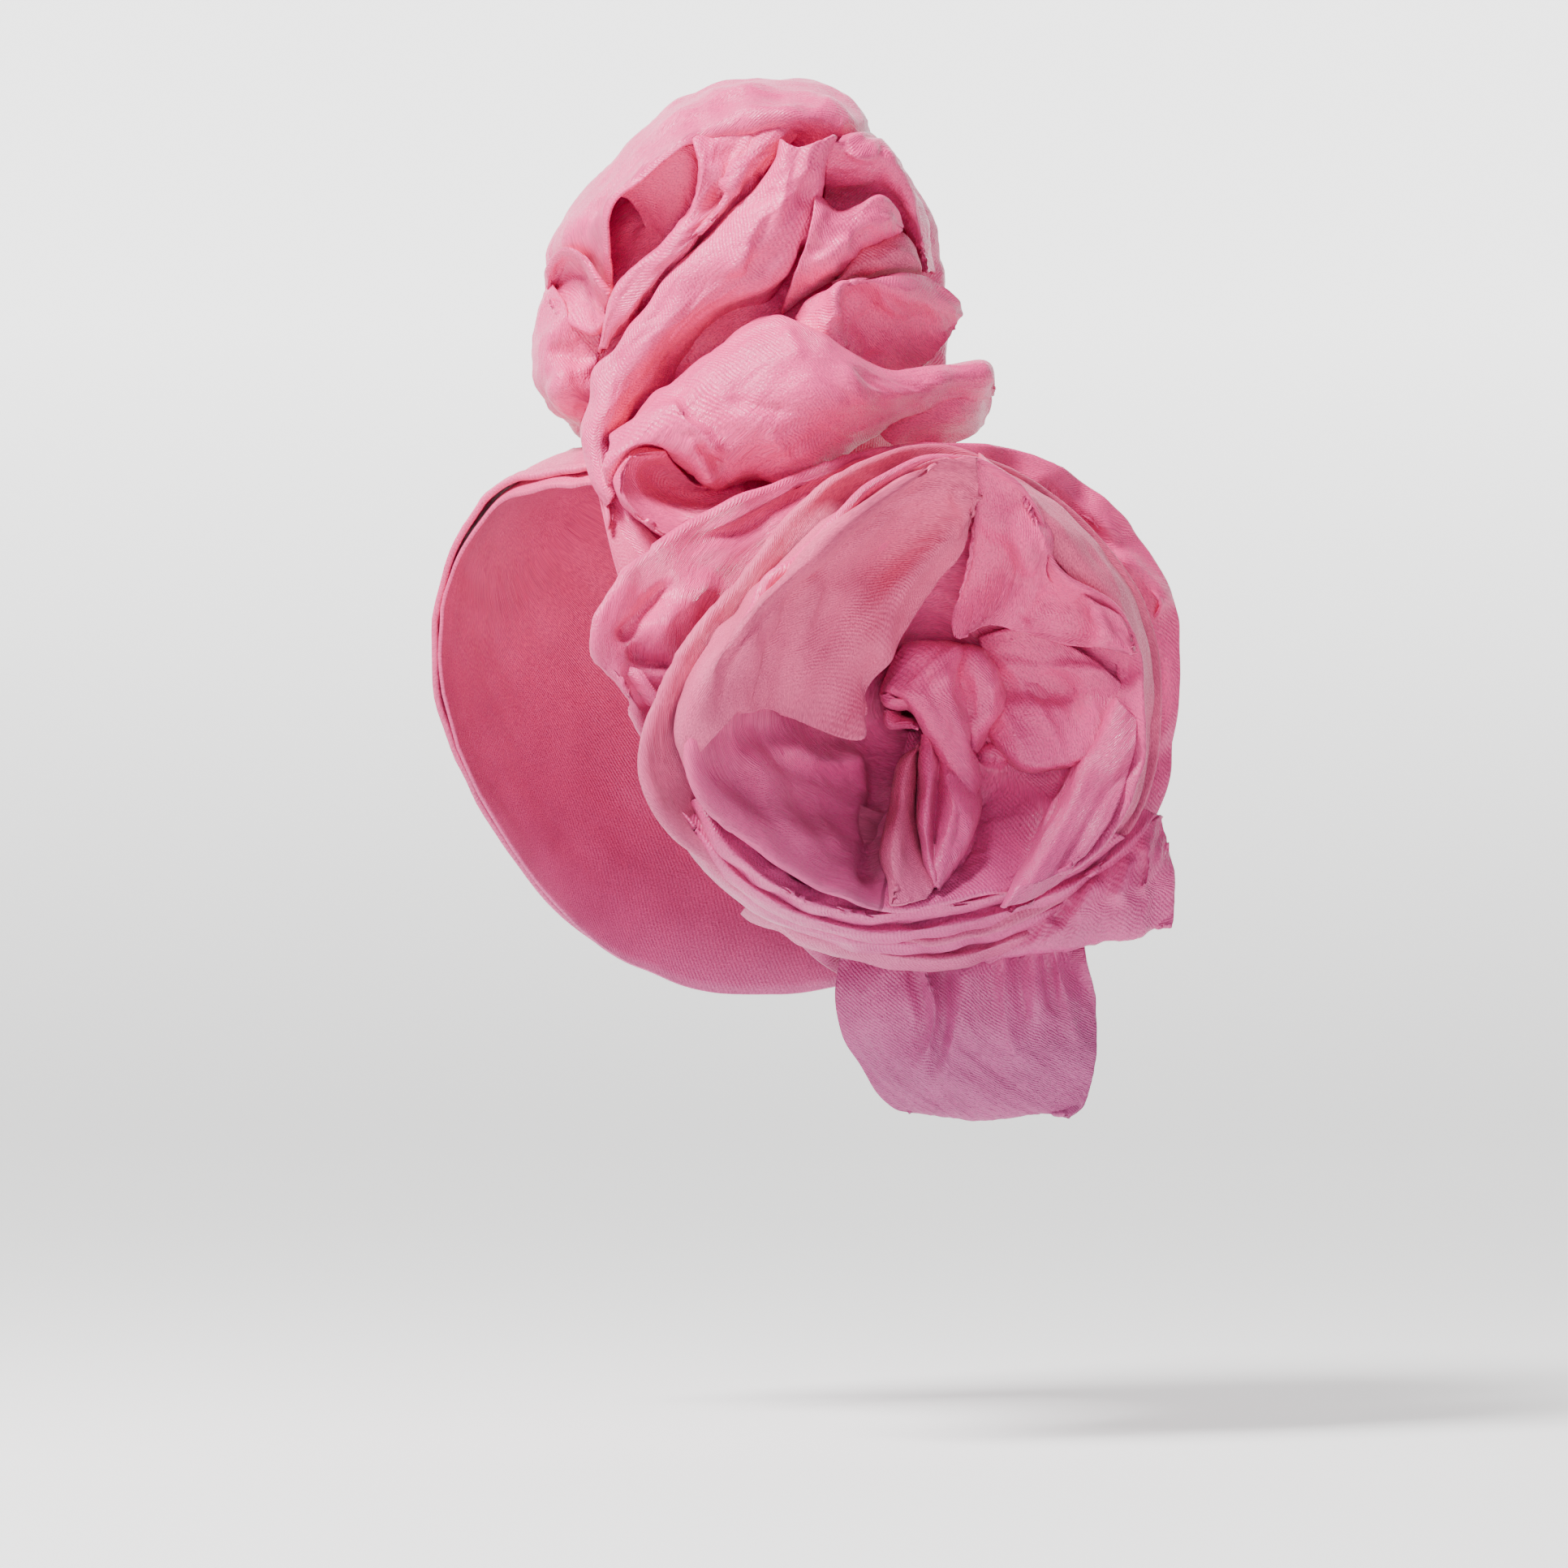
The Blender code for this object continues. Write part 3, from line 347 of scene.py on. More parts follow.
HOOD = seen(
    CROWN_VIEW,
    ((1120, 262, -14), (1075, 190, -18), (985, 85, -20), (830, 50, -20), (690, 62, -20), (520, 130, -18),
     (380, 235, -16), (260, 350, -14), (160, 470, -12), (100, 580, -10), (90, 680, -8)),
    ((1122, 260, 6), (1070, 170, 6), (985, 72, 6), (830, 52, 8), (680, 50, 8), (520, 112, 8), (380, 212, 8),
     (255, 335, 8), (155, 460, 8), (95, 570, 8), (84, 660, 8)),
    ((1100, 262, 30), (1040, 180, 34), (950, 110, 36), (820, 90, 38), (690, 90, 38), (540, 150, 38),
     (410, 240, 38), (290, 360, 38), (190, 480, 34), (134, 590, 24), (112, 690, 8)),
    ((1060, 258, 42), (1000, 215, 50), (930, 170, 54), (820, 150, 50), (700, 150, 47), (570, 195, 48),
     (450, 260, 49), (330, 370, 50), (244, 480, 48), (200, 600, 38), (190, 700, 22)),
    ((1015, 262, 48), (955, 245, 54), (890, 215, 58), (800, 195, 58), (690, 212, 56), (590, 235, 56),
     (500, 268, 57), (350, 380, 56), (268, 470, 54), (262, 600, 45), (262, 720, 33)),
    ((1000, 300, 44), (935, 320, 46), (860, 300, 46), (792, 266, 49), (690, 288, 49), (604, 300, 51),
     (525, 285, 59), (380, 395, 58), (296, 470, 57), (292, 600, 50), (296, 740, 38)),
)
UPPER_ROLL = seen(
    CROWN_VIEW,
    ((556, 240, 42), (560, 290, 46), (560, 360, 46), (540, 460, 44), (490, 550, 42), (398, 630, 40),
     (330, 705, 38), (268, 825, 36), (250, 912, 34)),
    ((530, 222, 48), (540, 272, 57), (561, 350, 61), (547, 455, 60), (503, 545, 58), (408, 618, 58),
     (335, 695, 57), (272, 812, 54), (253, 902, 48)),
    ((585, 205, 48), (600, 256, 57), (598, 350, 61), (580, 445, 61), (536, 540, 62), (442, 628, 62),
     (366, 712, 60), (296, 826, 57), (266, 910, 50)),
    ((680, 180, 48), (700, 234, 56), (652, 385, 57), (634, 445, 56), (590, 520, 61), (505, 620, 63),
     (425, 712, 61), (340, 820, 58), (286, 908, 50)),
    ((785, 160, 48), (800, 212, 56), (716, 318, 61), (690, 392, 63), (636, 478, 62), (560, 572, 61),
     (470, 672, 59), (376, 786, 55), (306, 890, 48)),
    ((870, 140, 46), (884, 190, 54), (806, 290, 57), (756, 352, 58), (698, 430, 57), (622, 520, 56),
     (526, 620, 55), (426, 740, 52), (334, 860, 48)),
    ((890, 150, 42), (900, 200, 49), (840, 290, 52), (792, 350, 53), (734, 430, 53), (656, 520, 52),
     (562, 620, 50), (460, 740, 47), (356, 860, 44)),
)
POCKET_LEAF = seen(
    CROWN_VIEW,
    ((290, 430, 44), (345, 440, 40), (380, 490, 35), (405, 560, 32), (425, 640, 30)),
    ((310, 405, 46), (375, 410, 44), (405, 470, 38), (422, 550, 33), (434, 640, 30)),
    ((420, 345, 52), (450, 370, 48), (462, 440, 43), (450, 530, 38), (436, 620, 33)),
    ((520, 290, 55), (540, 350, 52), (520, 440, 46), (478, 530, 40), (436, 610, 35)),
    ((580, 288, 50), (590, 350, 48), (566, 450, 44), (508, 545, 40), (446, 620, 36)),
)
LONG_ROLL = seen(
    CROWN_VIEW,
    ((830, 300, 48), (800, 385, 46), (715, 480, 44), (630, 570, 42), (500, 705, 42), (360, 880, 42),
     (282, 968, 42), (240, 1085, 46), (228, 1190, 50), (252, 1290, 56), (300, 1380, 62)),
    ((819, 274, 61), (785, 368, 60), (698, 462, 59), (612, 555, 59), (482, 690, 59), (342, 866, 57),
     (264, 958, 56), (222, 1080, 58), (211, 1190, 62), (236, 1292, 66), (290, 1392, 71)),
    ((842, 292, 66), (806, 380, 66), (732, 470, 65), (650, 572, 65), (528, 700, 65), (392, 862, 63),
     (300, 962, 61), (250, 1072, 63), (228, 1185, 67), (248, 1288, 71), (296, 1388, 75)),
    ((875, 300, 66), (838, 395, 67), (790, 482, 68), (722, 588, 67), (618, 712, 66), (474, 850, 65),
     (362, 962, 63), (296, 1064, 66), (254, 1176, 69), (266, 1278, 73), (303, 1378, 77)),
    ((925, 285, 67), (890, 390, 68), (842, 490, 68), (790, 600, 67), (700, 718, 64), (556, 818, 61),
     (436, 946, 58), (366, 1048, 62), (290, 1160, 66), (282, 1262, 71), (308, 1364, 75)),
    ((982, 262, 62), (948, 350, 61), (926, 450, 63), (892, 600, 62), (780, 742, 60), (640, 790, 52),
     (506, 930, 46), (440, 1036, 52), (350, 1140, 56), (300, 1240, 64), (312, 1350, 70)),
    ((978, 280, 50), (948, 380, 46), (920, 470, 48), (880, 620, 48), (790, 752, 44), (660, 800, 40),
     (540, 930, 36), (490, 1030, 38), (400, 1130, 44), (330, 1230, 52), (322, 1340, 60)),
)
RIGHT_ROLL = seen(
    CROWN_VIEW,
    ((925, 430, 46), (1000, 492, 44), (1060, 480, 42), (1112, 455, 40), (1170, 480, 34), (1190, 520, 28)),
    ((915, 445, 60), (985, 478, 56), (1055, 462, 54), (1120, 440, 53), (1180, 482, 46), (1196, 520, 38)),
    ((905, 520, 64), (968, 528, 62), (1030, 508, 60), (1090, 478, 57), (1150, 486, 51), (1195, 528, 42)),
    ((885, 610, 65), (955, 605, 64), (1022, 582, 61), (1088, 545, 58), (1150, 515, 52), (1193, 540, 42)),
    ((855, 700, 62), (930, 682, 60), (1000, 642, 57), (1066, 592, 55), (1126, 562, 49), (1184, 556, 40)),
    ((828, 796, 52), (910, 732, 50), (985, 690, 46), (1040, 628, 45), (1106, 598, 41), (1176, 570, 34)),
    ((822, 800, 42), (910, 730, 38), (990, 690, 34), (1046, 622, 34), (1106, 590, 32), (1176, 560, 26)),
)
RIGHT_TUCK = seen(
    CROWN_VIEW,
    ((990, 680, 44), (1040, 610, 46), (1110, 580, 43), (1180, 545, 38), (1215, 560, 30)),
    ((985, 695, 50), (1060, 635, 50), (1130, 600, 47), (1195, 570, 41), (1228, 600, 34)),
    ((975, 712, 50), (1070, 672, 50), (1150, 650, 46), (1212, 632, 40), (1240, 650, 33)),
    ((990, 716, 40), (1075, 692, 40), (1160, 672, 36), (1220, 660, 32), (1248, 668, 26)),
)
RIGHT_EDGE = seen(
    CROWN_VIEW,
    ((955, 470, 34), (1020, 480, 30), (1100, 470, 28), (1180, 490, 26), (1215, 570, 24), (1235, 670, 24)),
    ((950, 420, 40), (1030, 432, 34), (1110, 425, 32), (1188, 450, 32), (1226, 560, 28), (1246, 668, 26)),
    ((955, 360, 54), (1030, 372, 48), (1110, 368, 42), (1190, 420, 36), (1236, 540, 32), (1258, 665, 28)),
    ((972, 300, 60), (1050, 315, 55), (1122, 305, 47), (1192, 395, 38), (1244, 515, 32), (1270, 660, 27)),
    ((990, 268, 58), (1060, 252, 52), (1130, 268, 38), (1202, 378, 28), (1258, 495, 20), (1282, 650, 16)),
    ((1020, 240, 42), (1080, 225, 34), (1134, 268, 16), (1206, 378, 4), (1264, 500, -4), (1288, 660, -8)),
)
LEFT_LIP = seen(
    CROWN_VIEW,
    ((78, 720, 8), (84, 655, 14), (112, 612, 22), (152, 595, 28), (206, 622, 34), (250, 690, 38),
     (292, 745, 40)),
    ((80, 705, 16), (86, 645, 22), (112, 602, 30), (152, 586, 37), (208, 614, 43), (252, 684, 46),
     (294, 738, 46)),
    ((92, 710, 18), (102, 662, 23), (124, 624, 30), (154, 612, 36), (200, 638, 41), (240, 702, 43),
     (282, 756, 43)),
    ((112, 726, 14), (128, 690, 17), (150, 668, 21), (176, 664, 26), (206, 690, 30), (236, 738, 34),
     (272, 780, 37)),
    ((100, 742, 24), (132, 778, 29), (168, 806, 34), (204, 826, 38), (234, 836, 41), (256, 830, 42),
     (276, 806, 42)),
    ((98, 760, 22), (130, 800, 28), (168, 830, 33), (206, 850, 37), (236, 858, 39), (260, 850, 40),
     (282, 826, 40)),
)
LEFT_BAG = seen(
    CROWN_VIEW,
    ((98, 676, 0), (60, 850, 0), (45, 930, -2), (62, 1010, -4), (120, 1085, -6), (190, 1140, -8)),
    ((96, 676, 14), (58, 850, 18), (43, 930, 16), (58, 1008, 16), (116, 1082, 16), (196, 1136, 16)),
    ((142, 756, 31), (90, 870, 32), (74, 940, 32), (92, 1010, 32), (144, 1072, 31), (204, 1110, 30)),
    ((180, 826, 34), (150, 890, 34), (140, 950, 38), (152, 1010, 40), (190, 1055, 38), (226, 1080, 34)),
    ((262, 850, 34), (256, 900, 34), (250, 960, 34), (246, 1020, 36), (244, 1060, 36), (250, 1090, 36)),
)
SIDE_LEAF = seen(
    CROWN_VIEW,
    ((1080, 712, 44), (1150, 686, 46), (1200, 678, 44), (1290, 694, 36), (1360, 742, 26), (1388, 782, 18)),
    ((985, 712, 60), (1050, 704, 62), (1112, 710, 58), (1220, 744, 46), (1320, 782, 32), (1382, 790, 20)),
    ((975, 760, 60), (1040, 770, 53), (1110, 780, 46), (1205, 800, 38), (1300, 812, 29), (1376, 800, 20)),
    ((990, 840, 60), (1050, 860, 50), (1120, 880, 44), (1200, 882, 37), (1280, 862, 29), (1366, 812, 20)),
    ((1006, 905, 58), (1080, 948, 52), (1160, 976, 47), (1240, 960, 40), (1300, 906, 31), (1355, 830, 21)),
)
LEAF_FOLD = seen(
    CROWN_VIEW,
    ((845, 805, 58), (905, 742, 60), (990, 704, 64), (1060, 703, 60), (1112, 711, 56)),
    ((860, 830, 62), (925, 780, 64), (985, 730, 68), (1030, 716, 63), (1080, 716, 56)),
    ((880, 850, 64), (935, 830, 66), (984, 785, 68), (1005, 760, 62), (1030, 745, 52)),
    ((910, 880, 66), (955, 880, 67), (992, 850, 66), (1006, 830, 58), (1020, 810, 46)),
    ((960, 920, 64), (990, 925, 65), (1012, 905, 62), (1016, 890, 54), (1020, 870, 42)),
)
FRONT_SCROLL = seen(
    CROWN_VIEW,
    ((330, 1150, 56), (380, 1110, 56), (450, 1040, 54), (520, 1000, 50), (610, 930, 48), (710, 850, 46),
     (815, 806, 48), (920, 880, 50), (1020, 930, 48), (1150, 1000, 42), (1300, 970, 34), (1430, 960, 24),
     (1480, 1000, 16)),
    ((292, 1190, 72), (352, 1142, 73), (428, 1064, 72), (494, 1030, 69), (588, 942, 66), (700, 858, 64),
     (815, 798, 65), (922, 866, 68), (1022, 914, 66), (1152, 978, 58), (1302, 955, 47), (1440, 943, 34),
     (1486, 990, 24)),
    ((282, 1225, 77), (350, 1176, 79), (440, 1100, 80), (510, 1064, 79), (612, 985, 77), (735, 905, 75),
     (850, 870, 75), (950, 925, 76), (1045, 955, 73), (1170, 992, 62), (1310, 966, 51), (1448, 955, 38),
     (1488, 1003, 26)),
    ((276, 1262, 79), (345, 1206, 82), (452, 1150, 85), (528, 1118, 83), (640, 1060, 83), (776, 1000, 82),
     (900, 975, 81), (992, 985, 78), (1080, 1002, 73), (1198, 1016, 63), (1325, 990, 53), (1455, 978, 39),
     (1489, 1014, 27)),
    ((278, 1300, 79), (352, 1226, 83), (466, 1188, 86), (556, 1180, 85), (680, 1150, 86), (820, 1110, 85),
     (946, 1075, 82), (1038, 1062, 77), (1112, 1058, 72), (1222, 1046, 63), (1335, 1014, 52),
     (1458, 1000, 38), (1488, 1024, 26)),
    ((286, 1340, 76), (374, 1222, 81), (490, 1226, 84), (590, 1258, 82), (706, 1240, 83), (846, 1222, 80),
     (960, 1176, 76), (1056, 1128, 71), (1130, 1104, 66), (1240, 1072, 58), (1345, 1036, 47),
     (1456, 1030, 34), (1484, 1036, 24)),
    ((298, 1384, 71), (402, 1216, 76), (520, 1262, 78), (616, 1334, 74), (722, 1296, 74), (850, 1330, 70),
     (948, 1276, 66), (1060, 1206, 62), (1140, 1146, 58), (1252, 1096, 50), (1352, 1056, 40),
     (1440, 1058, 28), (1478, 1046, 20)),
    ((306, 1392, 60), (420, 1226, 66), (530, 1300, 64), (622, 1350, 62), (730, 1306, 60), (850, 1326, 56),
     (940, 1262, 52), (1050, 1186, 48), (1136, 1124, 44), (1240, 1080, 38), (1330, 1046, 30),
     (1420, 1048, 20), (1470, 1040, 14)),
)
SCROLL_MOUTH = seen(
    MOUTH_VIEW,
    ((290, 62, 70), (198, 74, 73), (152, 112, 76), (136, 172, 78), (146, 246, 78), (188, 302, 78),
     (248, 352, 78), (318, 394, 79)),
    ((298, 70, 76), (203, 84, 81), (162, 120, 84), (148, 176, 86), (158, 240, 86), (198, 292, 86),
     (256, 340, 86), (322, 382, 86)),
    ((306, 84, 75), (214, 97, 79), (177, 131, 82), (166, 179, 84), (176, 234, 84), (214, 282, 84),
     (272, 326, 84), (330, 368, 85)),
    ((318, 104, 70), (240, 116, 73), (202, 148, 75), (194, 186, 77), (204, 230, 78), (240, 268, 79),
     (296, 310, 80), (346, 350, 82)),
    ((350, 140, 66), (290, 148, 66), (256, 172, 67), (250, 204, 68), (264, 236, 70), (298, 266, 72),
     (340, 296, 75), (384, 330, 79)),
    ((430, 200, 64), (400, 205, 64), (380, 215, 65), (376, 234, 66), (388, 252, 68), (410, 270, 71),
     (440, 284, 74), (480, 300, 79)),
    ((570, 180, 62), (570, 190, 62), (572, 200, 63), (580, 212, 65), (595, 222, 67), (620, 228, 70),
     (650, 226, 73), (690, 214, 79)),
)
MOUTH_LIP = seen(
    MOUTH_VIEW,
    ((84, 190, 66), (106, 280, 69), (146, 380, 73), (190, 472, 76), (232, 548, 77)),
    ((140, 200, 71), (176, 300, 75), (224, 390, 77), (262, 462, 79), (292, 530, 80)),
    ((240, 325, 73), (282, 376, 75), (324, 425, 77), (356, 476, 79), (378, 530, 80)),
)
UNDER_LOBE = seen(
    CROWN_VIEW,
    ((1110, 1150, 52), (1210, 1090, 50), (1330, 1056, 42), (1420, 1050, 34), (1478, 1034, 22)),
    ((1140, 1190, 50), (1230, 1130, 48), (1336, 1090, 41), (1420, 1080, 32), (1476, 1056, 20)),
    ((1180, 1210, 46), (1260, 1160, 44), (1350, 1130, 37), (1424, 1112, 29), (1464, 1088, 18)),
    ((1210, 1230, 40), (1290, 1206, 38), (1360, 1186, 31), (1416, 1160, 24), (1446, 1126, 14)),
)
LEFT_PETAL = seen(
    ROSETTE_VIEW,
    ((380, 730, -1), (376, 650, -1), (416, 540, -1), (484, 426, -1), (580, 312, -1), (680, 218, -1),
     (788, 136, -0.5), (896, 84, 0), (1000, 80, 0)),
    ((420, 727, 3), (440, 640, 5), (500, 540, 6), (580, 430, 6), (680, 320, 6), (770, 230, 5),
     (850, 160, 4), (930, 116, 3), (1000, 114, 2)),
    ((448, 720, 4), (490, 640, 8), (560, 560, 10), (650, 450, 11), (750, 350, 10), (830, 270, 8),
     (900, 200, 6), (955, 160, 5), (1002, 148, 4)),
    ((472, 724, 5), (545, 690, 10), (630, 620, 14), (706, 500, 15), (790, 400, 13), (865, 320, 10),
     (930, 255, 8), (975, 205, 6), (1003, 170, 5)),
    ((500, 735, 6), (600, 775, 13), (712, 798, 20), (722, 680, 20), (818, 530, 18), (905, 400, 15),
     (960, 330, 12), (985, 260, 9), (1006, 170, 6)),
)
RIGHT_PETAL = seen(
    ROSETTE_VIEW,
    ((1000, 90, 0.5), (1080, 140, 0.5), (1190, 232, 0.5), (1205, 290, 0.5), (1182, 350, 0.5),
     (1205, 400, 0.5), (1290, 430, 0.5), (1380, 482, 0.5), (1425, 560, 0.5)),
    ((1000, 120, 2), (1070, 180, 2.5), (1150, 260, 3), (1165, 310, 3), (1160, 370, 3), (1190, 425, 3),
     (1280, 460, 3), (1365, 510, 3), (1422, 568, 2)),
    ((1000, 200, 5), (1010, 290, 7), (1040, 350, 8), (1075, 400, 9), (1110, 440, 9), (1160, 475, 9),
     (1260, 505, 8), (1350, 540, 6), (1418, 576, 3)),
    ((985, 330, 6), (955, 420, 9), (940, 500, 12), (960, 540, 13), (1040, 506, 13), (1120, 520, 13),
     (1220, 548, 12), (1320, 562, 9), (1412, 582, 4)),
)
KNOT = seen(
    KNOT_VIEW,
    ((138, 98, 1), (132, 112, 8), (88, 190, 8), (56, 262, 7), (116, 302, 7), (178, 334, 8), (213, 427, 9),
     (256, 494, 9), (298, 547, 8), (344, 597, 6)),
    ((165, 94, 3), (160, 112, 14), (116, 190, 17), (90, 250, 18), (146, 290, 20), (198, 332, 21),
     (238, 422, 20), (278, 492, 18), (317, 547, 15), (349, 600, 9)),
    ((225, 92, 4), (222, 112, 18), (205, 190, 24), (205, 260, 26), (240, 310, 26), (275, 360, 25),
     (300, 430, 23), (322, 500, 20), (342, 550, 16), (355, 602, 9)),
    ((280, 94, 4), (280, 114, 18), (275, 190, 23), (290, 260, 24), (310, 320, 24), (328, 380, 23),
     (340, 440, 21), (355, 500, 18), (365, 550, 14), (360, 602, 8)),
    ((322, 102, 2), (325, 122, 14), (318, 188, 15), (338, 270, 16), (346, 330, 17), (348, 390, 17),
     (356, 445, 15), (374, 490, 12), (377, 550, 9), (362, 604, 5)),
)
KNOT_DOME = seen(
    KNOT_VIEW,
    ((318, 98, 1), (314, 118, 12), (302, 182, 15), (322, 270, 16), (330, 330, 16), (334, 390, 15),
     (350, 450, 10)),
    ((352, 96, 3), (356, 114, 15), (366, 180, 20), (382, 255, 21), (386, 320, 20), (374, 380, 17),
     (360, 448, 11)),
    ((394, 108, 3), (394, 126, 14), (424, 180, 19), (438, 250, 20), (432, 315, 18), (405, 380, 14),
     (366, 450, 9)),
    ((410, 118, 1), (412, 132, 8), (452, 182, 9), (468, 250, 9), (462, 312, 8), (432, 382, 7),
     (372, 454, 5)),
    ((414, 124, 0), (416, 136, 0), (458, 186, 0), (474, 250, 0), (468, 314, 0), (438, 388, 0),
     (376, 458, 0)),
)
KNOT_CURL = seen(
    KNOT_VIEW,
    ((54, 262, 5), (72, 304, 7), (125, 318, 9), (176, 322, 10)),
    ((58, 268, 12), (80, 298, 15), (128, 307, 16), (176, 314, 15)),
    ((80, 262, 15), (110, 280, 18), (145, 292, 19), (176, 305, 18)),
)
KNOT_TUCK = seen(
    KNOT_VIEW,
    ((72, 310, 3), (64, 346, 4), (86, 384, 6), (140, 380, 8), (186, 384, 9)),
    ((78, 314, 10), (74, 345, 11), (94, 372, 13), (142, 366, 14), (186, 372, 14)),
    ((96, 316, 9), (104, 336, 11), (126, 348, 12), (155, 348, 12), (186, 358, 12)),
    ((130, 316, 5), (136, 326, 6), (150, 332, 7), (165, 334, 7), (188, 344, 8)),
)
TWIST_RIGHT = seen(
    KNOT_VIEW,
    ((190, 395, 8), (183, 480, 8), (178, 560, 7), (173, 640, 6), (174, 710, 5), (192, 790, 3),
     (231, 892, 1)),
    ((198, 395, 15), (195, 480, 18), (192, 560, 18), (187, 640, 16), (187, 710, 13), (202, 790, 9),
     (234, 888, 4)),
    ((215, 398, 17), (220, 480, 21), (220, 560, 22), (210, 640, 20), (206, 710, 17), (215, 790, 12),
     (236, 888, 5)),
    ((234, 400, 13), (246, 480, 13), (243, 560, 12), (238, 640, 11), (231, 710, 10), (232, 790, 8),
     (238, 888, 4)),
    ((262, 440, 13), (274, 520, 18), (284, 590, 21), (287, 650, 20), (279, 720, 17), (261, 800, 12),
     (241, 890, 5)),
    ((300, 480, 12), (318, 550, 17), (333, 610, 19), (336, 670, 18), (320, 730, 15), (287, 806, 10),
     (243, 892, 4)),
    ((342, 520, 6), (364, 580, 10), (374, 630, 11), (367, 690, 10), (342, 752, 8), (298, 820, 5),
     (246, 897, 1)),
    ((348, 522, 0), (374, 580, 0), (384, 632, 0), (376, 694, 0), (349, 758, 0), (303, 826, 0),
     (248, 902, 0)),
)
TWIST_LEFT = seen(
    KNOT_VIEW,
    ((178, 422, 1), (118, 476, 0), (98, 560, 0), (92, 640, 0), (72, 740, 0), (66, 800, 0), (82, 870, 0),
     (76, 935, 0)),
    ((184, 428, 7), (128, 482, 8), (108, 560, 9), (102, 640, 9), (82, 740, 8), (77, 800, 7), (93, 870, 5),
     (88, 934, 2)),
    ((186, 430, 11), (145, 485, 14), (127, 560, 15), (121, 640, 15), (103, 740, 13), (97, 800, 11),
     (111, 870, 8), (106, 934, 4)),
    ((187, 432, 10), (162, 490, 12), (152, 560, 13), (148, 640, 13), (138, 740, 11), (136, 800, 10),
     (148, 870, 7), (142, 934, 4)),
    ((190, 434, 5), (186, 490, 4), (184, 560, 4), (182, 640, 4), (180, 740, 3), (196, 800, 2),
     (226, 880, 2), (204, 925, 1)),
)
RIGHT_FOLD = seen(
    RIM_VIEW,
    ((580, 306, 1), (640, 292, 3), (700, 312, 4), (755, 342, 3), (792, 376, 2)),
    ((590, 345, 4), (640, 338, 6), (700, 352, 6), (750, 378, 6), (790, 405, 3)),
    ((592, 398, 6), (635, 405, 9), (690, 425, 9), (740, 428, 8), (782, 438, 4)),
    ((592, 440, 6), (622, 468, 10), (660, 497, 11), (720, 490, 9), (766, 470, 5)),
    ((592, 450, 0), (620, 482, 1), (660, 511, 1), (724, 502, 1), (770, 480, 0)),
)
RIGHT_SWEEP = seen(
    RIM_VIEW,
    ((608, 705, 0), (648, 636, 0), (688, 556, 0), (738, 466, 0), (775, 396, 0)),
    ((620, 705, 5), (660, 640, 8), (700, 560, 9), (750, 470, 9), (785, 398, 6)),
    ((655, 698, 5), (695, 636, 8), (735, 566, 9), (778, 486, 8), (798, 410, 5)),
    ((705, 672, 1), (748, 620, 2), (785, 562, 2), (808, 496, 1), (818, 430, 1)),
)
PETAL_BAND = seen(
    RIM_VIEW,
    ((150, 520, 34), (128, 445, 34), (150, 368, 34), (200, 286, 34), (270, 212, 34), (343, 142, 34),
     (423, 82, 34), (495, 40, 34)),
    ((150, 508, 46), (137, 442, 47), (160, 372, 48), (210, 292, 48), (280, 222, 48), (350, 152, 48),
     (430, 92, 48), (502, 50, 47)),
    ((186, 460, 52), (180, 402, 54), (204, 340, 56), (250, 270, 57), (314, 205, 57), (375, 145, 56),
     (440, 95, 54), (510, 52, 51)),
    ((222, 420, 51.5), (224, 370, 53.5), (250, 312, 55.5), (294, 246, 56.5), (348, 186, 55.5),
     (404, 136, 54.5), (460, 94, 53.5), (520, 55, 51.5)),
    ((236, 412, 45), (244, 362, 45), (275, 302, 45), (315, 240, 45), (368, 180, 45), (420, 130, 45),
     (470, 95, 45), (525, 58, 45)),
)
RIM_BAND = seen(
    ROSETTE_VIEW,
    ((1010, 60, 30), (1120, 120, 32), (1205, 182, 33), (1318, 285, 33), (1420, 415, 33), (1462, 560, 33),
     (1472, 690, 33), (1455, 842, 33), (1424, 975, 33), (1356, 1066, 32)),
    ((1020, 72, 40), (1120, 145, 42), (1198, 212, 43), (1298, 308, 43), (1396, 434, 43), (1436, 564, 43),
     (1446, 690, 43), (1429, 836, 42), (1398, 963, 40), (1336, 1048, 37)),
    ((1040, 96, 45), (1128, 165, 47), (1190, 235, 48), (1272, 328, 48), (1368, 445, 48), (1422, 572, 48),
     (1432, 690, 47), (1416, 832, 46), (1388, 956, 43), (1330, 1038, 39)),
    ((1060, 130, 43), (1120, 200, 45), (1160, 270, 46), (1222, 352, 46), (1330, 462, 46), (1404, 580, 46),
     (1418, 690, 45), (1404, 828, 44), (1378, 948, 41), (1322, 1028, 38)),
)
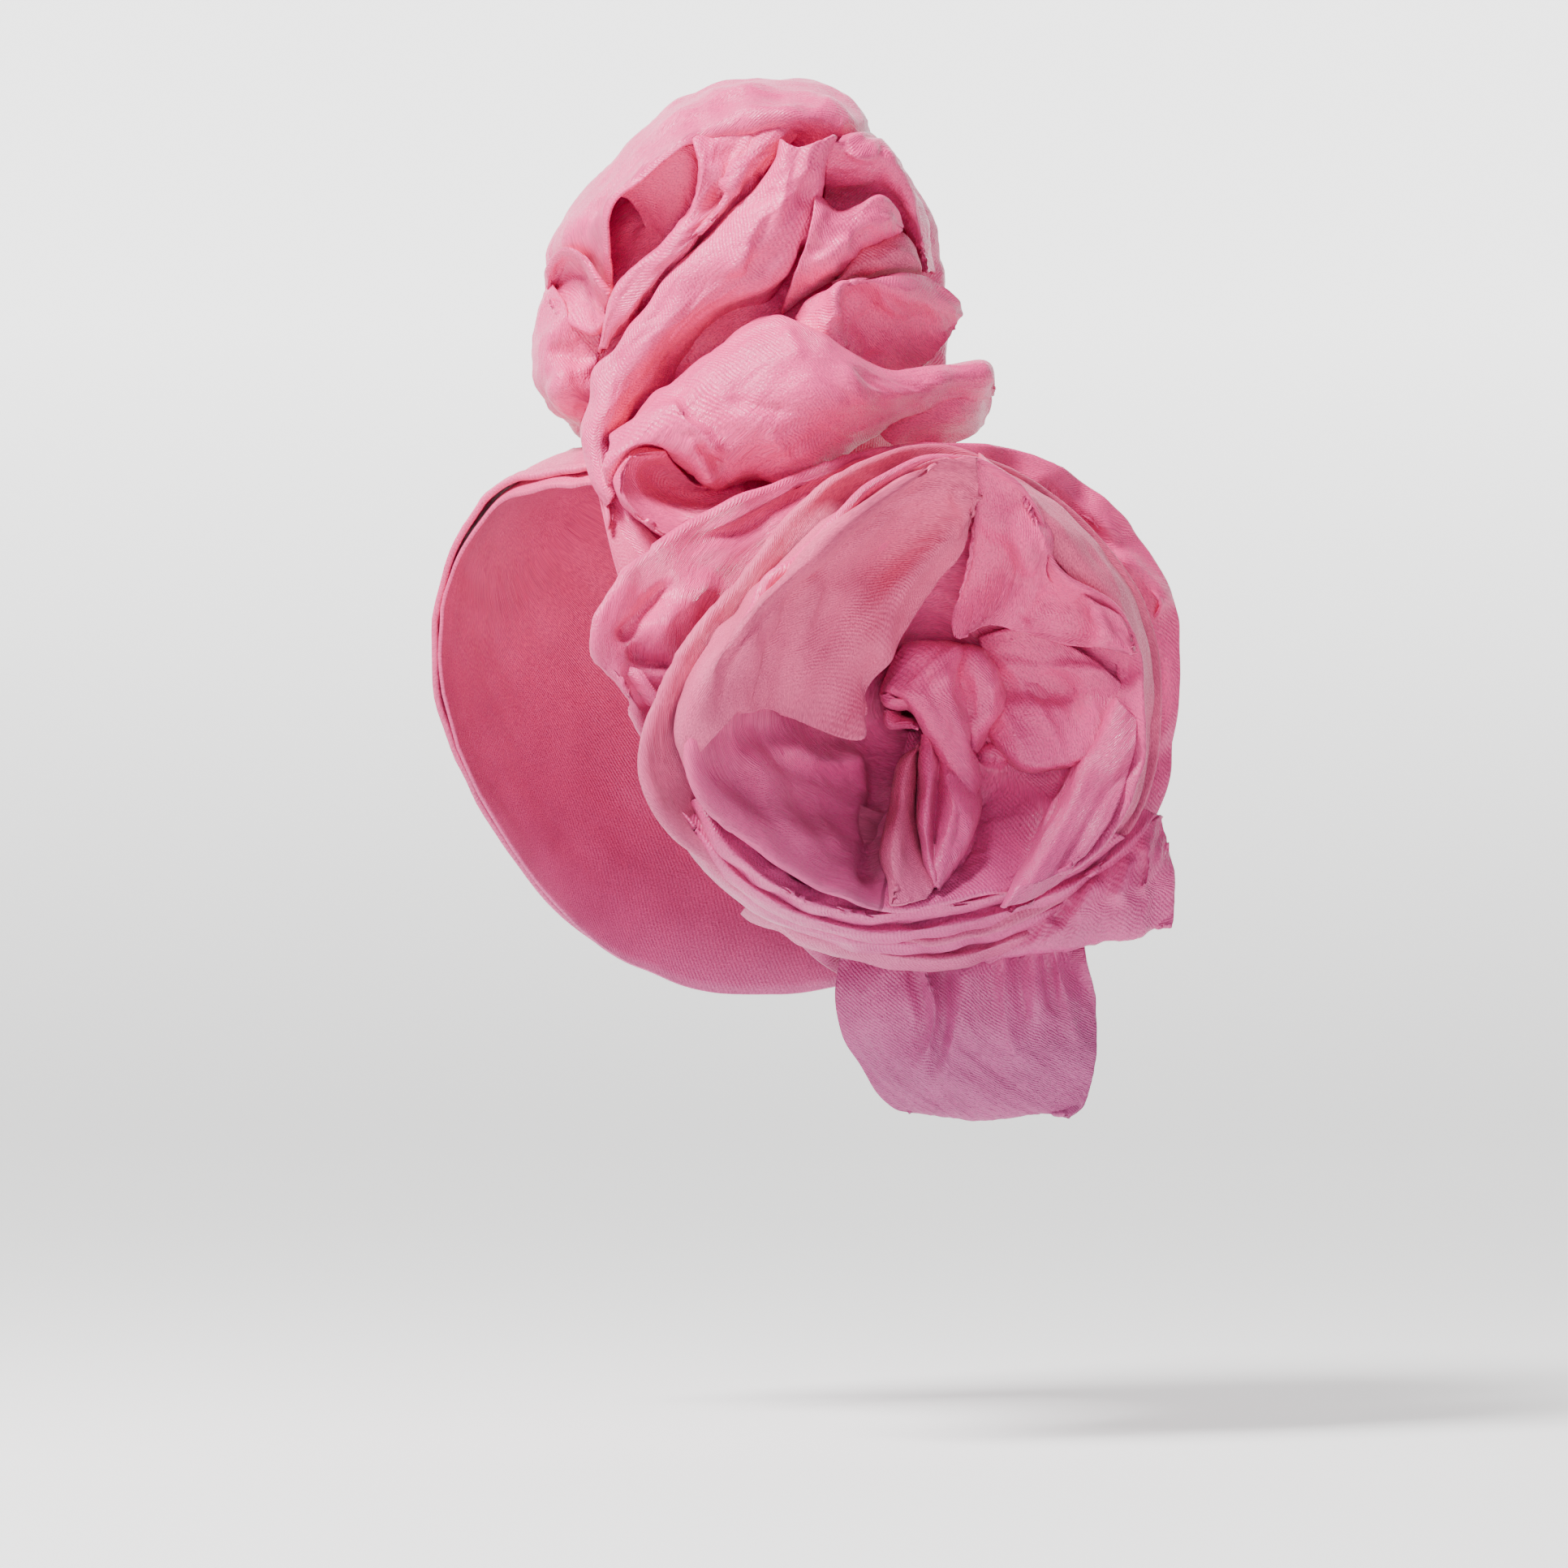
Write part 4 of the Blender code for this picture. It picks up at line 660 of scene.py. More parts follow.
TAIL = seen(
    TAIL_VIEW,
    ((312, 150, 38), (450, 160, 41), (620, 160, 42), (800, 160, 42), (980, 150, 41), (1175, 150, 37)),
    ((285, 260, 38), (430, 300, 43), (600, 310, 45), (800, 300, 45), (990, 280, 43), (1172, 300, 37)),
    ((268, 420, 38), (420, 440, 45), (600, 450, 47), (800, 440, 47), (1010, 430, 45), (1208, 420, 37)),
    ((296, 570, 38), (450, 580, 45), (620, 590, 47), (820, 600, 47), (1020, 590, 45), (1206, 570, 37)),
    ((388, 725, 38), (520, 730, 44), (660, 740, 45), (840, 740, 45), (1020, 735, 44), (1192, 730, 37)),
    ((478, 832, 38), (580, 832, 42), (700, 830, 42), (860, 828, 42), (1010, 828, 41), (1164, 828, 37)),
    ((536, 850, 38), (615, 864, 38), (715, 867, 38), (860, 864, 38), (1000, 861, 38), (1112, 870, 37)),
    ((478, 826, 37), (580, 824, 34), (700, 822, 34), (860, 820, 34), (1010, 820, 34), (1160, 822, 36)),
    ((388, 720, 37), (520, 720, 32), (660, 720, 31), (840, 720, 31), (1020, 720, 32), (1188, 720, 36)),
    ((296, 560, 37), (450, 560, 31), (620, 560, 30), (820, 560, 30), (1020, 560, 31), (1202, 560, 36)),
    ((268, 410, 37), (420, 400, 31), (600, 400, 30), (800, 400, 30), (1010, 400, 31), (1204, 410, 36)),
    ((290, 250, 37), (430, 250, 32), (600, 250, 31), (800, 250, 31), (990, 250, 32), (1170, 250, 36)),
)
WING = seen(
    WING_VIEW,
    ((760, 1010, 46), (960, 900, 47), (1150, 780, 44), (1330, 660, 41), (1440, 600, 36)),
    ((700, 1100, 46), (930, 1000, 50), (1150, 900, 49), (1350, 800, 45), (1470, 740, 36)),
    ((640, 1190, 46), (900, 1110, 51), (1150, 1020, 51), (1360, 950, 46), (1486, 900, 36)),
    ((580, 1270, 46), (860, 1200, 51), (1120, 1130, 51), (1340, 1070, 46), (1492, 1030, 36)),
    ((540, 1322, 46), (850, 1258, 48), (1110, 1220, 48), (1330, 1165, 44), (1490, 1112, 36)),
    ((520, 1340, 45), (860, 1268, 44), (1110, 1236, 43), (1320, 1184, 40), (1478, 1140, 36)),
    ((540, 1320, 44), (850, 1250, 40), (1110, 1212, 39), (1330, 1155, 37), (1484, 1105, 35)),
    ((580, 1260, 44), (860, 1190, 38), (1120, 1120, 37), (1340, 1060, 35), (1486, 1020, 35)),
    ((640, 1180, 44), (900, 1100, 38), (1150, 1010, 37), (1360, 940, 35), (1480, 890, 35)),
    ((700, 1090, 44), (930, 990, 39), (1150, 890, 38), (1350, 790, 36), (1464, 732, 35)),
)

# Rims along the rosette's lower side, with toward as the rim's stand over the seat
LOW_RIMS = seen(
    RIM_VIEW,
    ((120, 535, 37), (165, 590, 38), (215, 650, 38), (285, 700, 38), (360, 730, 38), (440, 742, 38),
     (540, 732, 37), (650, 704, 36), (745, 660, 36), (815, 606, 36), (846, 568, 36)),
    ((116, 550, 28), (175, 632, 29), (245, 690, 29), (325, 732, 29), (420, 758, 29), (520, 758, 28),
     (620, 735, 27), (720, 698, 27), (800, 650, 27)),
    ((240, 700, 20), (310, 740, 20), (400, 768, 20), (490, 784, 20), (560, 780, 20), (640, 755, 19),
     (730, 722, 19)),
    ((165, 545, 44), (205, 610, 46), (265, 662, 46), (335, 698, 46), (420, 716, 46), (500, 706, 45),
     (600, 690, 44), (700, 654, 44), (785, 596, 44)),
)

# Creases of each sheet: lift, half width on the left and on the right of the path in millimetres, and the
# path in a view's pixels. A lift below 0 is a dent.
Crease = namedtuple("Crease", "lift left right path")


def folds(view, *creases):
    """Creases with their paths turned into (across, up) in millimetres."""
    return [crease._replace(path=[(view.across + view.pixel * x, view.up - view.pixel * y)
                                  for x, y in crease.path]) for crease in creases]


CREASES = {
    "crown_hood": folds(
        CROWN_VIEW,
        Crease(1.5, 6, 5, ((560, 270), (700, 216), (830, 180), (886, 130))),
        Crease(2, 5, 5, ((400, 250), (520, 190), (640, 185))),
        Crease(1.4, 2, 5, ((940, 120), (990, 170), (1040, 235))),
        Crease(1.2, 2, 4, ((985, 110), (1040, 160), (1085, 225))),
        Crease(-2, 4, 8, ((200, 520), (280, 400), (380, 300))),
    ),
    "crown_upper_roll": folds(
        CROWN_VIEW,
        Crease(2.6, 2.2, 4, ((710, 320), (676, 395), (652, 445))),
        Crease(2.2, 4, 2.2, ((600, 330), (628, 390), (645, 440))),
        Crease(1.4, 2, 5, ((560, 500), (490, 600), (400, 700))),
    ),
    "long_roll": folds(
        CROWN_VIEW,
        Crease(3.2, 1.6, 8, ((790, 470), (735, 560), (700, 650), (702, 700))),
        Crease(-2.6, 3, 1.6, ((905, 570), (882, 640), (858, 700))),
        Crease(2, 2, 6, ((850, 330), (830, 440), (790, 540))),
        Crease(-1.6, 3, 3, ((930, 300), (905, 400), (890, 500))),
        Crease(1.4, 3, 3, ((560, 720), (430, 870), (330, 1010))),
    ),
    "crown_right_roll": folds(
        CROWN_VIEW,
        Crease(2.8, 5, 2, ((1050, 560), (965, 615), (890, 655))),
        Crease(-2.2, 2, 2, ((1120, 530), (1060, 575), (1010, 600))),
        Crease(2, 3, 4, ((930, 470), (905, 560), (880, 640))),
        Crease(1.6, 2, 3, ((1000, 640), (940, 680), (890, 720))),
    ),
    "crown_right_edge": folds(
        CROWN_VIEW,
        Crease(2.6, 3, 2, ((1000, 300), (1060, 318), (1120, 296))),
        Crease(1.1, 1.5, 1.5, ((1205, 585), (1240, 575), (1278, 580))),
        Crease(1.1, 1.5, 1.5, ((1215, 625), (1250, 618), (1284, 622))),
        Crease(1, 1.5, 1.5, ((1220, 655), (1286, 655))),
        Crease(1.6, 3, 3, ((1120, 330), (1180, 400), (1230, 500))),
    ),
    "crown_right_tuck": folds(
        CROWN_VIEW,
        Crease(1.6, 2, 3, ((1095, 650), (1140, 620), (1190, 590))),
    ),
    "front_scroll": folds(
        CROWN_VIEW,
        Crease(4, 2, 4, ((485, 1045), (503, 1110), (530, 1150), (575, 1172), (612, 1215), (640, 1262))),
        Crease(-3, 2, 2, ((560, 1205), (600, 1250), (640, 1300))),
        Crease(3.4, 2.4, 4, ((500, 1195), (555, 1225), (600, 1285), (612, 1330))),
        Crease(2, 4, 3, ((905, 870), (960, 950), (1040, 1050), (1120, 1100))),
        Crease(1.6, 3, 3, ((825, 825), (850, 900), (880, 960))),
        Crease(1.4, 2, 5, ((760, 1180), (810, 1215), (860, 1300))),
        Crease(-1.6, 3, 3, ((640, 1060), (740, 1100), (860, 1110))),
        Crease(1.3, 2, 3, ((980, 960), (1060, 1030), (1130, 1060))),
    ),
    "side_leaf": folds(
        CROWN_VIEW,
        Crease(1.4, 2, 3, ((1100, 720), (1160, 780), (1240, 800))),
        Crease(-2, 6, 4, ((1040, 800), (1080, 860), (1120, 920))),
    ),
    "crown_leaf_fold": folds(
        CROWN_VIEW,
        Crease(2, 2, 4, ((985, 716), (980, 780), (1000, 850))),
        Crease(1.2, 3, 3, ((930, 760), (940, 820), (980, 880))),
    ),
    "crown_left_bag": folds(
        CROWN_VIEW,
        Crease(-1.8, 3, 3, ((90, 900), (150, 905), (230, 950))),
        Crease(1.5, 4, 3, ((120, 1000), (180, 960), (245, 980))),
        Crease(1.2, 3, 3, ((90, 1000), (140, 1050), (210, 1090))),
    ),
    "rosette_bowl": folds(
        ROSETTE_VIEW,
        Crease(6, 9, 9, ((1110, 620), (1180, 700), (1230, 800))),
        Crease(5, 8, 1.4, ((1005, 805), (1070, 790), (1140, 838), (1215, 858), (1295, 835))),
        Crease(5.5, 9, 1.8, ((1345, 630), (1354, 700), (1312, 800), (1242, 920), (1180, 1040),
                             (1120, 1185))),
        Crease(4, 3, 3, ((1020, 862), (1052, 842), (1085, 872))),
        Crease(4.5, 9, 4, ((425, 760), (412, 860), (450, 960), (540, 1060), (660, 1130))),
        Crease(5, 7, 4, ((440, 790), (540, 850), (640, 868), (745, 845))),
        Crease(-6, 4, 5, ((775, 830), (755, 950), (742, 1080), (735, 1185))),
        Crease(-3.5, 5, 3, ((1015, 900), (1005, 1050), (935, 1160))),
        Crease(2, 4, 4, ((560, 900), (600, 1010), (650, 1100))),
        Crease(2.4, 3, 6, ((1230, 600), (1180, 560), (1120, 560))),
    ),
    "rosette_middle": folds(
        ROSETTE_VIEW,
        Crease(4.5, 6, 6, ((195, 900), (205, 760), (260, 640), (340, 540), (420, 430), (520, 320),
                           (650, 225), (790, 130))),
        Crease(-2.5, 2, 3, ((300, 760), (330, 640), (400, 560), (480, 470))),
        Crease(2.6, 3, 3, ((250, 1010), (340, 1130), (450, 1220), (600, 1285), (760, 1305), (900, 1290))),
        Crease(2, 2, 4, ((1000, 1270), (1150, 1210), (1300, 1110))),
    ),
    "rosette_outer": folds(
        ROSETTE_VIEW,
        Crease(6, 7, 7, ((150, 565), (205, 500), (275, 440), (340, 375))),
        Crease(-4.5, 3, 3, ((88, 560), (118, 515), (175, 450), (235, 395))),
        Crease(-4, 2.5, 2.5, ((108, 560), (165, 606), (240, 612))),
        Crease(3.5, 4, 2, ((60, 600), (100, 680), (150, 760))),
        Crease(-3, 2, 5, ((255, 310), (400, 255), (560, 168), (700, 105), (850, 58))),
        Crease(-5, 8, 2, ((1150, 150), (1240, 220), (1330, 325))),
        Crease(4, 6, 3, ((1330, 290), (1440, 375), (1520, 480))),
        Crease(-3.5, 3, 3, ((1490, 560), (1482, 700), (1455, 850))),
        Crease(2, 3, 3, ((1200, 120), (1300, 200), (1400, 290))),
        Crease(2, 3, 3, ((480, 1260), (620, 1335), (800, 1365), (950, 1350))),
    ),
    "rosette_right_fold": folds(
        RIM_VIEW,
        Crease(-2.6, 4, 4, ((590, 370), (650, 385), (720, 385), (790, 380))),
        Crease(1.8, 2, 3, ((595, 330), (650, 350), (720, 352), (785, 360))),
        Crease(2, 2, 4, ((600, 330), (650, 380), (690, 440), (712, 486))),
        Crease(-1.6, 3, 3, ((640, 330), (700, 380), (740, 440))),
        Crease(1.6, 2, 3, ((600, 400), (630, 440), (655, 490))),
        Crease(1.2, 2, 3, ((720, 350), (752, 400), (760, 450))),
    ),
    "rosette_right_sweep": folds(
        RIM_VIEW,
        Crease(1.2, 2, 3, ((650, 680), (700, 590), (760, 480))),
        Crease(-1, 2, 2, ((690, 680), (740, 590), (790, 490))),
    ),
    "rosette_petal_band": folds(
        RIM_VIEW,
        Crease(1.6, 2, 4, ((160, 470), (170, 390), (225, 300), (300, 215), (380, 140))),
        Crease(-1.4, 2, 2, ((190, 450), (200, 370), (250, 290), (330, 205))),
    ),
    "rosette_left_petal": folds(
        ROSETTE_VIEW,
        Crease(3.6, 6, 4, ((1000, 200), (880, 330), (760, 500), (700, 640))),
        Crease(-3.4, 5, 6, ((960, 170), (830, 290), (700, 440), (600, 600))),
        Crease(2.6, 3, 6, ((900, 130), (760, 230), (620, 380), (520, 560))),
        Crease(-2, 4, 4, ((820, 160), (690, 270), (560, 420))),
        Crease(2, 6, 6, ((600, 330), (530, 480), (470, 640))),
        Crease(2.4, 5, 3, ((930, 140), (972, 220), (950, 320))),
        Crease(1.2, 3, 3, ((800, 200), (700, 340), (620, 480))),
        Crease(-1.4, 4, 4, ((850, 180), (760, 300), (700, 420))),
        Crease(1.2, 2, 3, ((620, 560), (560, 640), (520, 720))),
    ),
    "rosette_right_petal": folds(
        ROSETTE_VIEW,
        Crease(2, 4, 4, ((1100, 200), (1130, 300), (1120, 400))),
        Crease(-1.6, 3, 3, ((1200, 420), (1160, 470), (1120, 500))),
        Crease(1.4, 2, 3, ((1300, 450), (1330, 500), (1350, 550))),
    ),
    "rosette_knot": folds(
        KNOT_VIEW,
        Crease(1.3, 4, 2, ((120, 240), (165, 290), (205, 350), (245, 430))),
        Crease(1, 2, 3, ((260, 130), (270, 220), (300, 330), (330, 460))),
        Crease(-1, 2, 2, ((190, 130), (215, 230), (255, 330), (290, 420))),
    ),
    "rosette_knot_dome": folds(
        KNOT_VIEW,
        Crease(-0.8, 2, 3, ((340, 180), (352, 290), (358, 360))),
        Crease(1, 2, 2, ((420, 200), (430, 280), (405, 360))),
    ),
    "rosette_twist": folds(
        KNOT_VIEW,
        Crease(1.4, 2, 1.2, ((300, 600), (285, 700), (250, 800), (236, 870))),
        Crease(-1.2, 2, 2, ((320, 620), (310, 700), (275, 790))),
        Crease(1, 1.5, 1.5, ((345, 640), (330, 720), (280, 810))),
    ),
    "rosette_twist_band": folds(
        KNOT_VIEW,
        Crease(1.2, 2, 3, ((140, 500), (135, 620), (115, 760), (125, 880))),
    ),
    "tail_loop": folds(
        TAIL_VIEW,
        Crease(3.6, 2.4, 3.5, ((570, 180), (585, 310), (619, 437), (621, 514), (600, 609), (575, 740))),
        Crease(-2.6, 3, 3, ((520, 180), (545, 320), (578, 437), (586, 533), (548, 680))),
        Crease(-3.2, 3, 5, ((650, 180), (652, 360), (656, 514), (632, 648), (592, 800))),
        Crease(3.4, 5, 7, ((780, 180), (744, 360), (700, 514), (640, 667), (560, 840))),
        Crease(2.6, 3, 2.2, ((850, 160), (868, 312), (882, 514), (930, 700))),
        Crease(-1.8, 2, 3, ((910, 160), (926, 322), (950, 560))),
        Crease(2.4, 2.5, 2.5, ((980, 160), (985, 312), (1000, 560))),
        Crease(2.8, 3, 3, ((1050, 160), (1062, 293), (1112, 456), (1132, 660))),
        Crease(-1.8, 3, 3, ((1020, 160), (1030, 330), (1060, 520))),
    ),
    "wing_loop": folds(
        WING_VIEW,
        Crease(3, 3, 3, ((1290, 780), (1250, 900), (1190, 1040))),
        Crease(2.7, 2, 3, ((1362, 700), (1366, 860), (1330, 1000))),
        Crease(2.8, 3, 3, ((1130, 880), (1060, 1000), (1000, 1120))),
        Crease(-2.3, 4, 4, ((980, 1000), (900, 1120))),
    ),
}

# Sheets: the lines of places, the node that a sheet takes the place of, if it has one of its own, how it is
# held, and its rows and the points along each
Sheet = namedtuple("Sheet", "name lines node held rows along")
CROWN_SHEETS = (
    Sheet("crown_hood", HOOD, None, "gathered", 60, 110),
    Sheet("crown_upper_roll", UPPER_ROLL, None, "gathered", 60, 100),
    Sheet("crown_pocket_leaf", POCKET_LEAF, None, "folded", 30, 50),
    Sheet("long_roll", LONG_ROLL, "long_roll", "folded", 70, 130),
    Sheet("crown_right_roll", RIGHT_ROLL, None, "gathered", 56, 70),
    Sheet("crown_right_tuck", RIGHT_TUCK, None, "gathered", 30, 50),
    Sheet("crown_right_edge", RIGHT_EDGE, None, "gathered", 56, 80),
    Sheet("crown_left_lip", LEFT_LIP, None, "folded", 40, 60),
    Sheet("crown_left_bag", LEFT_BAG, None, "gathered", 40, 60),
    Sheet("side_leaf", SIDE_LEAF, "side_leaf", "folded", 40, 70),
    Sheet("crown_leaf_fold", LEAF_FOLD, None, "folded", 34, 40),
    Sheet("front_scroll", FRONT_SCROLL, "front_scroll", "folded", 80, 140),
    Sheet("scroll_mouth", SCROLL_MOUTH, None, "folded", 44, 80),
    Sheet("scroll_lip", MOUTH_LIP, None, "folded", 16, 60),
    Sheet("under_lobe", UNDER_LOBE, "under_lobe", "folded", 30, 60),
)
INNER_SHEETS = (
    Sheet("rosette_left_petal", LEFT_PETAL, "rosette_left_petal", "folded", 64, 120),
    Sheet("rosette_right_petal", RIGHT_PETAL, "rosette_right_petal", "folded", 50, 100),
    Sheet("rosette_knot", KNOT, "rosette_knot", "folded", 54, 90),
    Sheet("rosette_knot_dome", KNOT_DOME, None, "folded", 40, 60),
    Sheet("rosette_knot_curl", KNOT_CURL, None, "folded", 24, 40),
    Sheet("rosette_knot_tuck", KNOT_TUCK, None, "folded", 24, 40),
    Sheet("rosette_right_fold", RIGHT_FOLD, None, "folded", 40, 60),
    Sheet("rosette_right_sweep", RIGHT_SWEEP, None, "folded", 36, 80),
    Sheet("rosette_twist", TWIST_RIGHT, "rosette_twist", "folded", 50, 100),
    Sheet("rosette_twist_band", TWIST_LEFT, None, "folded", 40, 80),
    Sheet("rosette_rim_band", RIM_BAND, None, "folded", 24, 160),
    Sheet("rosette_petal_band", PETAL_BAND, None, "folded", 36, 120),
)


def spline(known, values, at, period=None):
    """A smooth curve through the values: cubic between neighbours, with the slope of its two neighbours.

    With a period the curve closes on itself after it."""
    known = np.asarray(known, float)
    values = np.asarray(values, float)
    at = np.asarray(at, float)
    if period:
        known = np.concatenate([known[-2:] - period, known, known[:2] + period])
        values = np.concatenate([values[-2:], values, values[:2]])
        at = np.mod(at - known[2], period) + known[2]
    slopes = np.gradient(values, known, axis=0)
    index = np.clip(np.searchsorted(known, at, side="right") - 1, 0, len(known) - 2)
    span = known[index + 1] - known[index]
    share = (at - known[index]) / span
    more = (1,) * (values.ndim - 1)
    share, span = share.reshape(share.shape + more), span.reshape(span.shape + more)
    start, end = values[index], values[index + 1]
    rise, fall = slopes[index] * span, slopes[index + 1] * span
    cube, square = share**3, share**2
    return (
        (2 * cube - 3 * square + 1) * start
        + (cube - 2 * square + share) * rise
        + (3 * square - 2 * cube) * end
        + (cube - square) * fall
    )


def columns(rows):
    """The rows of a table as one array."""
    return np.array([tuple(row) for row in rows], float)


def dressed(across, up, toward):
    """Points of the dressed frame in the frame of the part: x and y are turned by the dress turn."""
    cosine, sine = math.cos(DRESS_TURN), math.sin(DRESS_TURN)
    across, up, toward = np.broadcast_arrays(across, up, toward)
    return np.stack([across * cosine + toward * sine, across * sine - toward * cosine, up], axis=-1)


# The direction toward the viewer
VIEWER = dressed(0.0, 0.0, 1.0)


def undressed(points):
    """The across and up of points of the part."""
    cosine, sine = math.cos(DRESS_TURN), math.sin(DRESS_TURN)
    return points[..., 0] * cosine + points[..., 1] * sine, points[..., 2]


def cap_half(drop):
    """The half breadth, the half length and the shift to the back of the cap's hollow at each drop."""
    table = columns(CAP_SECTIONS)
    breadth, length, back = (spline(table[:, 0], table[:, k], drop) for k in (1, 2, 3))
    return breadth * CAP_BREADTH / 2, length * CAP_LENGTH / 2, back * CAP_LENGTH / 2


def cap_point(turn, drop, ease):
    """A point over the cap's hollow: an ellipse at each drop, turn in degrees from the front toward +X."""
    breadth, length, back = cap_half(drop)
    angle = np.radians(turn)
    thin = np.clip(drop / TOP_DROP, 0, 1)
    x = (np.maximum(breadth, 0) + ease * thin) * np.sin(angle)
    y = -(np.maximum(length, 0) + ease * thin) * np.cos(angle) + back
    z = -drop * CAP_DEPTH + ease * (1 - np.clip(drop / SIDE_DROP, 0, 1))
    return np.stack([x, y, z], axis=-1)


def cap_toward(across, up, ease):
    """How far toward the viewer the cap's surface lies at a place across and up."""
    breadth, length, back = cap_half(np.clip(-up / CAP_DEPTH, 0, 1))
    a, b = breadth + ease, length + ease
    cosine, sine = math.cos(DRESS_TURN), math.sin(DRESS_TURN)
    square = (sine / a) ** 2 + (cosine / b) ** 2
    middle = across * cosine * sine / a**2 - cosine * (across * sine - back) / b**2
    rest = (across * cosine / a) ** 2 + ((across * sine - back) / b) ** 2 - 1
    return (-middle + np.sqrt(np.maximum(middle**2 - square * rest, 0))) / square


def unit(vectors):
    """Vectors at length 1."""
    return vectors / np.maximum(np.linalg.norm(vectors, axis=-1, keepdims=True), 1e-9)


def differences(points, ring, axis):
    """The step from point to point along an axis. A ring closes over it, with the step over two points."""
    if ring:
        return np.roll(points, -1, axis=axis) - np.roll(points, 1, axis=axis)
    return np.gradient(points, axis=axis)


def normals(grid, ring=False):
    """Unit normals of a grid: the cross product of its two directions. A ring closes over its columns."""
    return unit(np.cross(differences(grid, ring, 1), differences(grid, False, 0)))


def facing(normal):
    """The normals, all turned round if most of them look away from the viewer."""
    return normal if (normal @ VIEWER).mean() > 0 else -normal


def arc_lengths(grid, axis):
    """The length of each line of a grid from its first point to each point, down (0) or along (1)."""
    steps = np.linalg.norm(np.diff(grid, axis=axis), axis=-1).cumsum(axis=axis)
    return np.insert(steps, 0, 0.0, axis=axis)


def net_places(lines, rows, along):
    """Places on a sheet through lines of places: splines along each line, and splines across them."""
    fine = np.linspace(0, 1, along)
    curves = [spline(np.linspace(0, 1, len(line)), columns(line), fine) for line in lines]
    places = spline(np.linspace(0, 1, len(curves)), np.array(curves), np.linspace(0, 1, rows))
    return places[..., 0], places[..., 1], places[..., 2]


def net(lines, rows, along):
    """A sheet through lines of places, in the frame of the part."""
    return dressed(*net_places(lines, rows, along))


def seat_net(lines, rows, along, over_bowl):
    """The same for sheets of the rosette, with toward counted over its bowl, or else over its seat."""
    across, up, stand = net_places(lines, rows, along)
    across, up = across - ROSETTE_ACROSS, up + ROSETTE_DROP
    if over_bowl:
        bowl = layer_level(ROSETTE_LAYERS[0], np.hypot(across, up), np.degrees(np.arctan2(up, across)))
        stand = bowl + stand + PLY
    return on_rosette(across, up, stand)


def rolled(grid, radius, depth, ring=False):
    """The sheet with its last row folded back: half a turn of a small circle, then straight by the depth."""
    tangent = unit(grid[-1] - grid[-2])
    normal = -facing(unit(np.cross(differences(grid[-1], ring, 0), tangent)))
    radius = np.reshape(radius, (-1, 1))
    phi = np.linspace(0, np.pi, TURN_ROWS + 1)[1:, None, None]
    turned = grid[-1] + radius * (np.sin(phi) * tangent + (1 - np.cos(phi)) * normal)
    back = turned[-1] - tangent * (np.linspace(0, depth, BACK_ROWS + 1)[1:, None, None])
    return np.concatenate([grid, turned, back])


def waves(points, seed, size):
    """Smooth noise of about unit size: sine waves in seeded directions, with wavelengths around the size."""
    chance = np.random.default_rng(seed)
    total = np.zeros(points.shape[:-1])
    bend = np.sin(points[..., [1, 2, 0]] * (2 * np.pi / (size * BEND_LENGTH)) + seed)
    bent = points + size * BEND_SIZE * bend
    for _ in range(WAVE_COUNT):
        direction = unit(chance.normal(size=3))
        length = size * np.exp(chance.uniform(-LENGTH_SPREAD, LENGTH_SPREAD))
        total += np.sin(bent @ direction * (2 * np.pi / length) + chance.uniform(0, 2 * np.pi))
    return total / math.sqrt(WAVE_COUNT / 2)


def path_gap(across, up, path):
    """The distance in the dressed plane to a smooth path, the share along it, and the side of it."""
    table = columns(path)
    fine = spline(np.arange(len(table)), table, np.linspace(0, len(table) - 1, PATH_STEPS))
    best = np.full(across.shape, 1e9)
    share = np.zeros(across.shape)
    side = np.zeros(across.shape)
    for k in range(len(fine) - 1):
        run = fine[k + 1] - fine[k]
        ahead = (across - fine[k, 0]) * run[0] + (up - fine[k, 1]) * run[1]
        part = np.clip(ahead / max(run @ run, 1e-9), 0, 1)
        dx, dy = across - fine[k, 0] - part * run[0], up - fine[k, 1] - part * run[1]
        gap = np.hypot(dx, dy)
        closer = gap < best
        best = np.where(closer, gap, best)
        share = np.where(closer, (k + part) / (len(fine) - 1), share)
        side = np.where(closer, run[0] * dy - run[1] * dx, side)
    return best, share, side


def creased(grid, name, ring=False, loop=False):
    """The sheet raised along each crease of its name: a bell over its two widths, faded at its ends.

    It rises along its normals, and the two faces of a loop both rise toward the viewer."""
    normal = VIEWER if loop else facing(normals(grid, ring))
    across, up = undressed(grid)
    lift = np.zeros(across.shape)
    for crease in CREASES.get(name, ()):
        gap, share, side = path_gap(across, up, crease.path)
        width = np.where(side > 0, crease.left, crease.right)
        ends = np.clip(np.minimum(share, 1 - share) / CREASE_FADE, 0, 1)
        lift += crease.lift * np.exp(-((gap / width) ** 2) * CREASE_BELL) * ends * ends * (3 - 2 * ends)
    return grid + normal * lift[..., None]


def laid_flat(grid, ring):
    """Each point's place in the cloth: arc lengths along, over the stretch, and down. A ring bends round."""
    down = arc_lengths(grid, 0)
    if ring:
        length = np.linalg.norm(np.diff(grid, axis=1), axis=-1).sum(axis=1).mean() / CLOTH_STRETCH
        angle = np.linspace(0, 2 * np.pi, grid.shape[1], endpoint=False)[None, :] + 0 * down
        reach = length / (2 * np.pi)
        return np.stack([reach * np.cos(angle), reach * np.sin(angle), down], axis=-1)
    along = arc_lengths(grid, 1) / CLOTH_STRETCH
    return np.stack([along, 0 * along, down], axis=-1)


